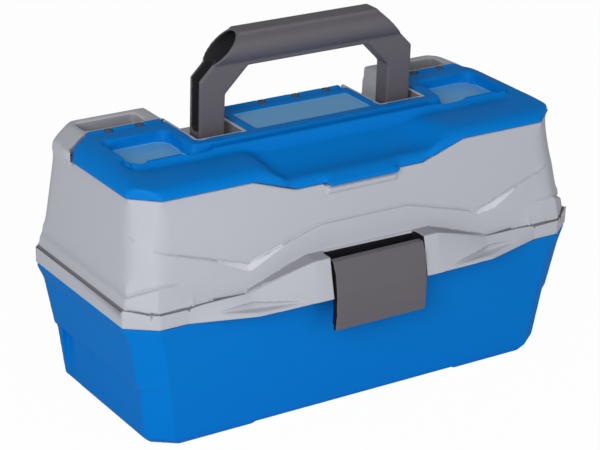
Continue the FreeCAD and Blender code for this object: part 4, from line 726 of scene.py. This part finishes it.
# %% Press in the creases
CREASE_DEEP = 1.1
CREASE_HALF = 0.9
CREASE_OFF = 0.5
SKIRT_X = [140, 162, 181.5]
SKIRT_Z = [119, 121, 111.5]
SKIRT_CREASE_X = (143, 152)
WAVE_BACK_Y = -48
TURNED_OUT = 0.4
WALL_DEEP = 5
CREASE_LOW_Z = 108

turned = CUT_TURN_X * normals[:, 0] * np.sign(x) - CUT_TURN_Y * normals[:, 1]
on_wall = (turned > TURNED_OUT) & (out_of_wall(places) > -WALL_DEEP) & (z > CREASE_LOW_Z)
skirt_top = z - np.interp(np.abs(x), SKIRT_X, SKIRT_Z)
wave_crease = bump(under, -CREASE_OFF, CREASE_HALF) * (y < WAVE_BACK_Y)
skirt_crease = bump(skirt_top, CREASE_OFF, CREASE_HALF) * ramp(np.abs(x), *SKIRT_CREASE_X)
crease = np.maximum(wave_crease, skirt_crease)
places -= normals * (CREASE_DEEP * crease * on_wall)[:, None]
print("corners in the creases:", np.count_nonzero(crease * on_wall))

# %% [markdown]
# ## The groove
#
# A groove runs round the foot of the lid's walls, between them and the rim band, as far as the
# wings of the latch's housing. It hides the joint line of the mould's two halves. The ledge is
# pressed down there, a little off the wall, and then melted by a few passes so that its sides are
# even.

# %% Press in the groove
HOUSING_HALF = 50.3
WING_HALF = 97
HOUSING_TOP = 120.6
GROOVE_DEPTH = 3.5
GROOVE_START = WING_HALF + 2
GROOVE_END_X = 165
GROOVE_OUTER = (2.5, 2.1)
FROM_WALL = 0.3
FROM_SKIRT_START = 0.7
SKIRT_START_HALF = 14
SIDE_SLOPE = 0.6
ON_LEDGE = 1.1
BESIDE_LEDGE = 1.6
BESIDE_WALL = (-0.5, 3.2)
GROOVE_PASSES = 5


def ledge_height(x):
    """Height of the ledge beside the wall: the band's top, or the slope of a wing."""
    return HOUSING_TOP - (HOUSING_TOP - BAND_TOP) * ramp(np.abs(x), HOUSING_HALF, WING_HALF)


outside = out_of_wall(places)
down = ledge_height(x) - z
on_ledge = (np.abs(x) > GROOVE_START) & (np.abs(down) < ON_LEDGE)
on_ledge = on_ledge & ((y < FRONT_Y) | (np.abs(x) > GROOVE_END_X))
inner = FROM_WALL + FROM_SKIRT_START * (bump(np.abs(x), SKIRT_START, SKIRT_START_HALF) > 0)
pressed = GROOVE_DEPTH * ramp(outside, inner, inner + SIDE_SLOPE) * ramp(outside, *GROOVE_OUTER)
places[:, 2] -= np.where(on_ledge, pressed, 0)
put_places(lid, places)
beside = (np.abs(x) > GROOVE_START) & (np.abs(down) < BESIDE_LEDGE)
beside = beside & (outside > BESIDE_WALL[0]) & (outside < BESIDE_WALL[1])
melt(lid, 1.0 * beside, GROOVE_PASSES)

# %% [markdown]
# ## The latch's thin sides
#
# The latch is a bowed plate with low side walls. Below the seam they are only a few millimetres
# deep, so from the side the latch shows a thin dark line. The skin of each side wall is drawn
# forward there: the latch's front is measured at every height, and no corner of a side lies
# further behind it.

# %% Draw the latch's side walls forward
LATCH_SIDE = 34.5
LATCH_SIDE_DEEP = 4.5
SEAM_Z = 92
SLICE_MM = 1.0

latch = shells["latch"]
places = places_of(latch)
heights = np.arange(places[:, 2].min(), SEAM_Z, SLICE_MM)
fronts = [places[np.abs(places[:, 2] - height) < SLICE_MM, 1].min() for height in heights]
deepest = np.interp(places[:, 2], heights, fronts) + LATCH_SIDE_DEEP
side_wall = (np.abs(places[:, 0]) > LATCH_SIDE) & (places[:, 2] < SEAM_Z - SLICE_MM)
places[:, 1] = np.where(side_wall, np.minimum(places[:, 1], deepest), places[:, 1])
put_places(latch, places)
print("corners of the latch's sides:", np.count_nonzero(side_wall))

# %% [markdown]
# ## Every shell takes its place
#
# A flat wall needs few faces, and the even skin has many. The skins are thinned, which takes
# faces from the flat parts first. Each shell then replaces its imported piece, and moves with its
# body.

# %% Thin the shells and put them in place
BODY_OF = {"base_tub": "tub", "lid_shell": "lid", "top_cover": "cover",
           "handle": "handle", "latch": "latch"}
SLOT_OF = {part["node"]: part["material_slot"] for part in frame["record"]["subparts"]}
KEPT_SHARE = {"base_tub": 0.12, "lid_shell": 0.15, "top_cover": 0.25, "handle": 0.25, "latch": 0.3}


def thinned(piece, kept_share):
    """Keep a share of the faces, and shade them smooth."""
    thin = piece.modifiers.new("thin", "DECIMATE")
    thin.ratio = kept_share
    baked(piece)
    piece.data.name = piece.name
    piece.data.materials.clear()
    piece.data.shade_smooth()
    print(piece.name, "faces:", len(piece.data.polygons))


for node, piece in shells.items():
    thinned(piece, KEPT_SHARE[node])
    piece.data.materials.append(finishes[SLOT_OF[node]])
    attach(piece, BODY_OF[node])
    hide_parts(node)

# %% [markdown]
# ## Finish by place
#
# A mould is polished or left rough by place, so the finish is given by place too, and so are
# painted shade and a painted highlight. A face takes another finish if a test of its middle, in
# millimetres, and of the way it faces says so. Most tests are boxes that are the same on both
# sides of the middle.

# %% Give a finish by place
UP = 0.8


def refinish(piece, finish, test):
    """Give the faces that pass the test another material."""
    piece.data.materials.append(finish)
    index = len(piece.data.materials) - 1
    count = 0
    for face in piece.data.polygons:
        if test(face.center / MM, face.normal):
            face.material_index = index
            count += 1
    print(piece.name, finish.name, count)


def within(place, box):
    """Whether a place is in a box, given by its spans of distance from the middle, y and z."""
    x, y, z = place
    return all(low < value < high for value, (low, high) in zip((abs(x), y, z), box))


# %% [markdown]
# ## Smooth floors in the cover, with a painted reflection
#
# The floors of the wells and the channel lie at one height, and the middle panel lies higher.
# Their paler blue is a painted reflection of the white room.

# %% Finish the cover's floors
WELL_FLOORS = ((-1, 155), (-22, 25), (179.2, 180.8))
MIDDLE_PANEL = ((-1, 47.5), (-2.5, 29.5), (186.25, 186.95))


def cover_floor(place, normal):
    """The floors of the wells and the channel, and the middle panel."""
    return normal.z > UP and (within(place, WELL_FLOORS) or within(place, MIDDLE_PANEL))


# The floors take the paler blue, a painted reflection of the white room.
refinish(shells["top_cover"], floor_reflection_paint, cover_floor)

# %% [markdown]
# ## Painted shade in the handle's cores and on the latch's sides
#
# The grip is hollow and its legs are channels, as a core pin leaves them, so that the moulding
# cools evenly. Their insides get painted shade, and so do the latch's cheeks, which lie in the
# shade of the housing.

# %% Finish the handle and the latch
GRIP_Y, GRIP_Z = 14, 243
CORE_RADIUS = 10.6
LEG_CHANNELS = ((69, 86.5), (8.6, 18.6), (187, 236))


def core(place, normal):
    """The grip's hollow and the bottoms of the channels in the legs, which get painted shade."""
    in_bore = math.hypot(place.y - GRIP_Y, place.z - GRIP_Z) < CORE_RADIUS
    return in_bore or within(place, LEG_CHANNELS)


def latch_side(place, normal):
    """The latch's cheeks, which lie in the shade of the housing and get painted shade."""
    return abs(normal.x) > UP


# Painted shade goes into the grip's hollow and the legs' channels, and onto the latch's cheeks.
refinish(shells["handle"], core_shade_paint, core)
refinish(shells["latch"], latch_shade_paint, latch_side)

# %% [markdown]
# ## The lid's pockets, groove and gap
# The pockets in the rear blocks and round the handle's feet, and the groove, get grey painted
# shade. The gap that the latch lies in gets the darkest painted shade of all.

# %% Places of the lid: pockets, groove, wings, gap, chamfer and ears
BLOCK_POCKETS = ((99, 151.5), (49, 67), (168, 185.6))
HANDLE_POCKETS = ((56, 93.5), (-1.5, 46), (160, 186))
LATCH_GAP = ((-1, 38.5), (-93, -69.5), (93, 120))
GROOVE_SIDES = (0.7, GROOVE_DEPTH + 0.6)
GROOVE_OUTSIDE = (-0.2, 2.2)


def block_pocket(place, normal):
    """The insides of the pockets in the rear blocks."""
    return within(place, BLOCK_POCKETS)


def handle_pocket(place, normal):
    """The insides of the pockets that the handle's feet stand in."""
    return within(place, HANDLE_POCKETS)


def in_groove(place, normal):
    """The sides and the bottom of the groove round the foot of the lid's walls."""
    x, y, z = place
    if abs(x) <= GROOVE_START or not (y < FRONT_Y or abs(x) > GROOVE_END_X):
        return False
    down = ledge_height(x) - z
    outside = out_of_wall(np.array([[x, y, z + down]]))[0]
    return GROOVE_SIDES[0] < down < GROOVE_SIDES[1] and \
        GROOVE_OUTSIDE[0] < outside < GROOVE_OUTSIDE[1]


def latch_gap(place, normal):
    """The back and the sides of the gap that the latch lies in."""
    return within(place, LATCH_GAP)


# %% [markdown]
# ## The wings' tops, the chamfer and the hinge's ears
#
# The tops of the housing's wings narrow to a point and lie in shade, which is painted on them.
# The chamfer gets a smoother, paler grey: a painted highlight. The lid's ears in the cover's hinge
# get painted shade, so they are seen only as dark notches.

# %% More places of the lid, and its finishes
WING_FROM = HOUSING_HALF - 15
WING_FRONT_Y = -72
WING_UP = 0.6
WING_NEAR = 1.5
WING_WIDTH = (1, 12)
CHAMFER_OVER = -0.3
CHAMFER_LEAST = 1
CHAMFER_BEHIND = -2
HINGE_Y, HINGE_Z = 41, 186
EAR_RADIUS = 3.4


def wing_top(place, normal):
    """The tops of the housing and of its wings, which get painted shade."""
    x, y, z = place
    if not (normal.z > WING_UP and WING_FROM < abs(x) < WING_HALF and y < WING_FRONT_Y):
        return False
    narrow, wide = WING_WIDTH
    width = narrow + wide * ramp(WING_HALF - abs(x), 0, WING_HALF - HOUSING_HALF)
    return out_of_wall(np.array([place]))[0] < width and abs(ledge_height(x) - z) < WING_NEAR


def chamfer(place, normal):
    """The chamfer of the wave's step, which gets a painted highlight."""
    x, y, z = place
    under, tall = wave_depth(x, z)
    if not (y < FRONT_Y and CHAMFER_OVER < under < tall and tall > CHAMFER_LEAST):
        return False
    return out_of_wall(np.array([place]))[0] > CHAMFER_BEHIND


def hinge_ear(place, normal):
    """The lid's ears in the cover's hinge, which get painted shade."""
    x, y, z = place
    return math.hypot(y - HINGE_Y, z - HINGE_Z) < EAR_RADIUS and abs(x) < WELL_END


# Each finish below is painted shade, except the chamfer's painted highlight.
for finish, test in ((pocket_shade_paint, block_pocket), (groove_shade_paint, handle_pocket),
                     (groove_shade_paint, in_groove), (wing_shade_paint, wing_top), (latch_shade_paint, latch_gap),
                     (chamfer_highlight_paint, chamfer), (ear_shade_paint, hinge_ear)):
    refinish(lid, finish, test)

# %% [markdown]
# ## Floor and backdrop
#
# A catalogue picture is taken in front of a white sweep of paper. Its white comes from its own
# colour as the camera sees it, and the floor keeps the box's soft shadow. The room gives a low
# even light.

# %% Stage
FLOOR_SIZE = 12.0
FLOOR_WHITE = "#FBFBFB"
SWEEP_GLOW = 0.97
WORLD_LEVEL = 0.3

bpy.ops.mesh.primitive_plane_add(size=FLOOR_SIZE)
floor = bpy.context.object
floor.name = "studio_floor"
paper, tree, output = new_material("white_sweep_paper")
ray = add_node(tree, "ShaderNodeLightPath")
diffuse = add_node(tree, "ShaderNodeBsdfDiffuse")
diffuse.inputs["Color"].default_value = linear(FLOOR_WHITE)
glow = add_node(tree, "ShaderNodeEmission", Strength=1.0)
seen = add_node(tree, "ShaderNodeMath", {0: ray.outputs["Is Camera Ray"]}, operation="MULTIPLY")
seen.inputs[1].default_value = SWEEP_GLOW
mix = add_node(tree, "ShaderNodeMixShader",
               {0: seen.outputs[0], 1: diffuse.outputs[0], 2: glow.outputs[0]})
tree.links.new(mix.outputs[0], output.inputs["Surface"])
floor.data.materials.append(paper)

world = bpy.data.worlds.new("studio")
bpy.context.scene.world = world
world.use_nodes = True
tree = world.node_tree
tree.nodes.clear()
ray = add_node(tree, "ShaderNodeLightPath")
plain = add_node(tree, "ShaderNodeBackground", Strength=WORLD_LEVEL)
white = add_node(tree, "ShaderNodeBackground", Strength=1.0)
for background in (plain, white):
    background.inputs["Color"].default_value = (1, 1, 1, 1)
mix = add_node(tree, "ShaderNodeMixShader",
               {0: ray.outputs["Is Camera Ray"], 1: plain.outputs[0], 2: white.outputs[0]})
add_node(tree, "ShaderNodeOutputWorld", {"Surface": mix.outputs[0]})
print("floor:", FLOOR_SIZE, "m wide, room light:", WORLD_LEVEL)

# %% [markdown]
# ## Lamps
#
# Large soft lamps near the camera light a catalogue picture. The fronts face the lamps, so they
# are brighter than the tops. The key lamp faces the left end and the cut corner, and a weaker one
# fills the front from the right.

# %% Lamps
middle = (Vector(cad_box[0]) + Vector(cad_box[1])) / 2


def soft_lamp(name, azimuth, elevation, distance, size, watts):
    """A square area lamp that looks at the middle of the box, placed round it by two angles."""
    lamp = bpy.data.lights.new(name, "AREA")
    lamp.size = size
    lamp.energy = watts
    holder = bpy.data.objects.new(name, lamp)
    bpy.context.scene.collection.objects.link(holder)
    turn, lift = math.radians(azimuth), math.radians(elevation)
    away = Vector((-math.sin(turn) * math.cos(lift), -math.cos(turn) * math.cos(lift),
                   math.sin(lift)))
    holder.location = middle + away * distance
    holder.rotation_euler = away.to_track_quat("Z", "Y").to_euler()
    print(name, watts, "W at", [round(v, 2) for v in holder.location])


soft_lamp("key_lamp", azimuth=49, elevation=26, distance=2.0, size=1.0, watts=24)
soft_lamp("fill_lamp", azimuth=-20, elevation=15, distance=2.0, size=1.2, watts=6.5)

# %% [markdown]
# ## Camera
#
# The camera stands where the photograph was taken from. Its place and angles come from lining up
# the box's own edges, and its long lens gives the flat perspective of a catalogue picture.

# %% Camera
CAMERA_PLACE = Vector((-0.8053, -1.1922, 0.7129))
CAMERA_YAW = math.radians(33.79)
CAMERA_DOWN = math.radians(22.91)
CAMERA_ROLL = math.radians(1.89)
SENSOR_MM = 36
LENS_MM = 132.47

look = Vector((math.sin(CAMERA_YAW) * math.cos(CAMERA_DOWN),
               math.cos(CAMERA_YAW) * math.cos(CAMERA_DOWN), -math.sin(CAMERA_DOWN)))
level_right = Vector((math.cos(CAMERA_YAW), -math.sin(CAMERA_YAW), 0))
level_up = level_right.cross(look)
right = math.cos(CAMERA_ROLL) * level_right + math.sin(CAMERA_ROLL) * level_up
up = math.cos(CAMERA_ROLL) * level_up - math.sin(CAMERA_ROLL) * level_right
lens = bpy.data.cameras.new("photo_camera")
lens.sensor_width = SENSOR_MM
lens.lens = LENS_MM
camera = bpy.data.objects.new("photo_camera", lens)
bpy.context.scene.collection.objects.link(camera)
axes = Matrix((right, up, -look)).transposed().to_4x4()
camera.matrix_world = Matrix.Translation(CAMERA_PLACE) @ axes
bpy.context.scene.camera = camera
bpy.context.scene.view_settings.view_transform = "Standard"
print("camera:", round((CAMERA_PLACE - middle).length, 2), "m away, looking",
      [round(v, 2) for v in look])
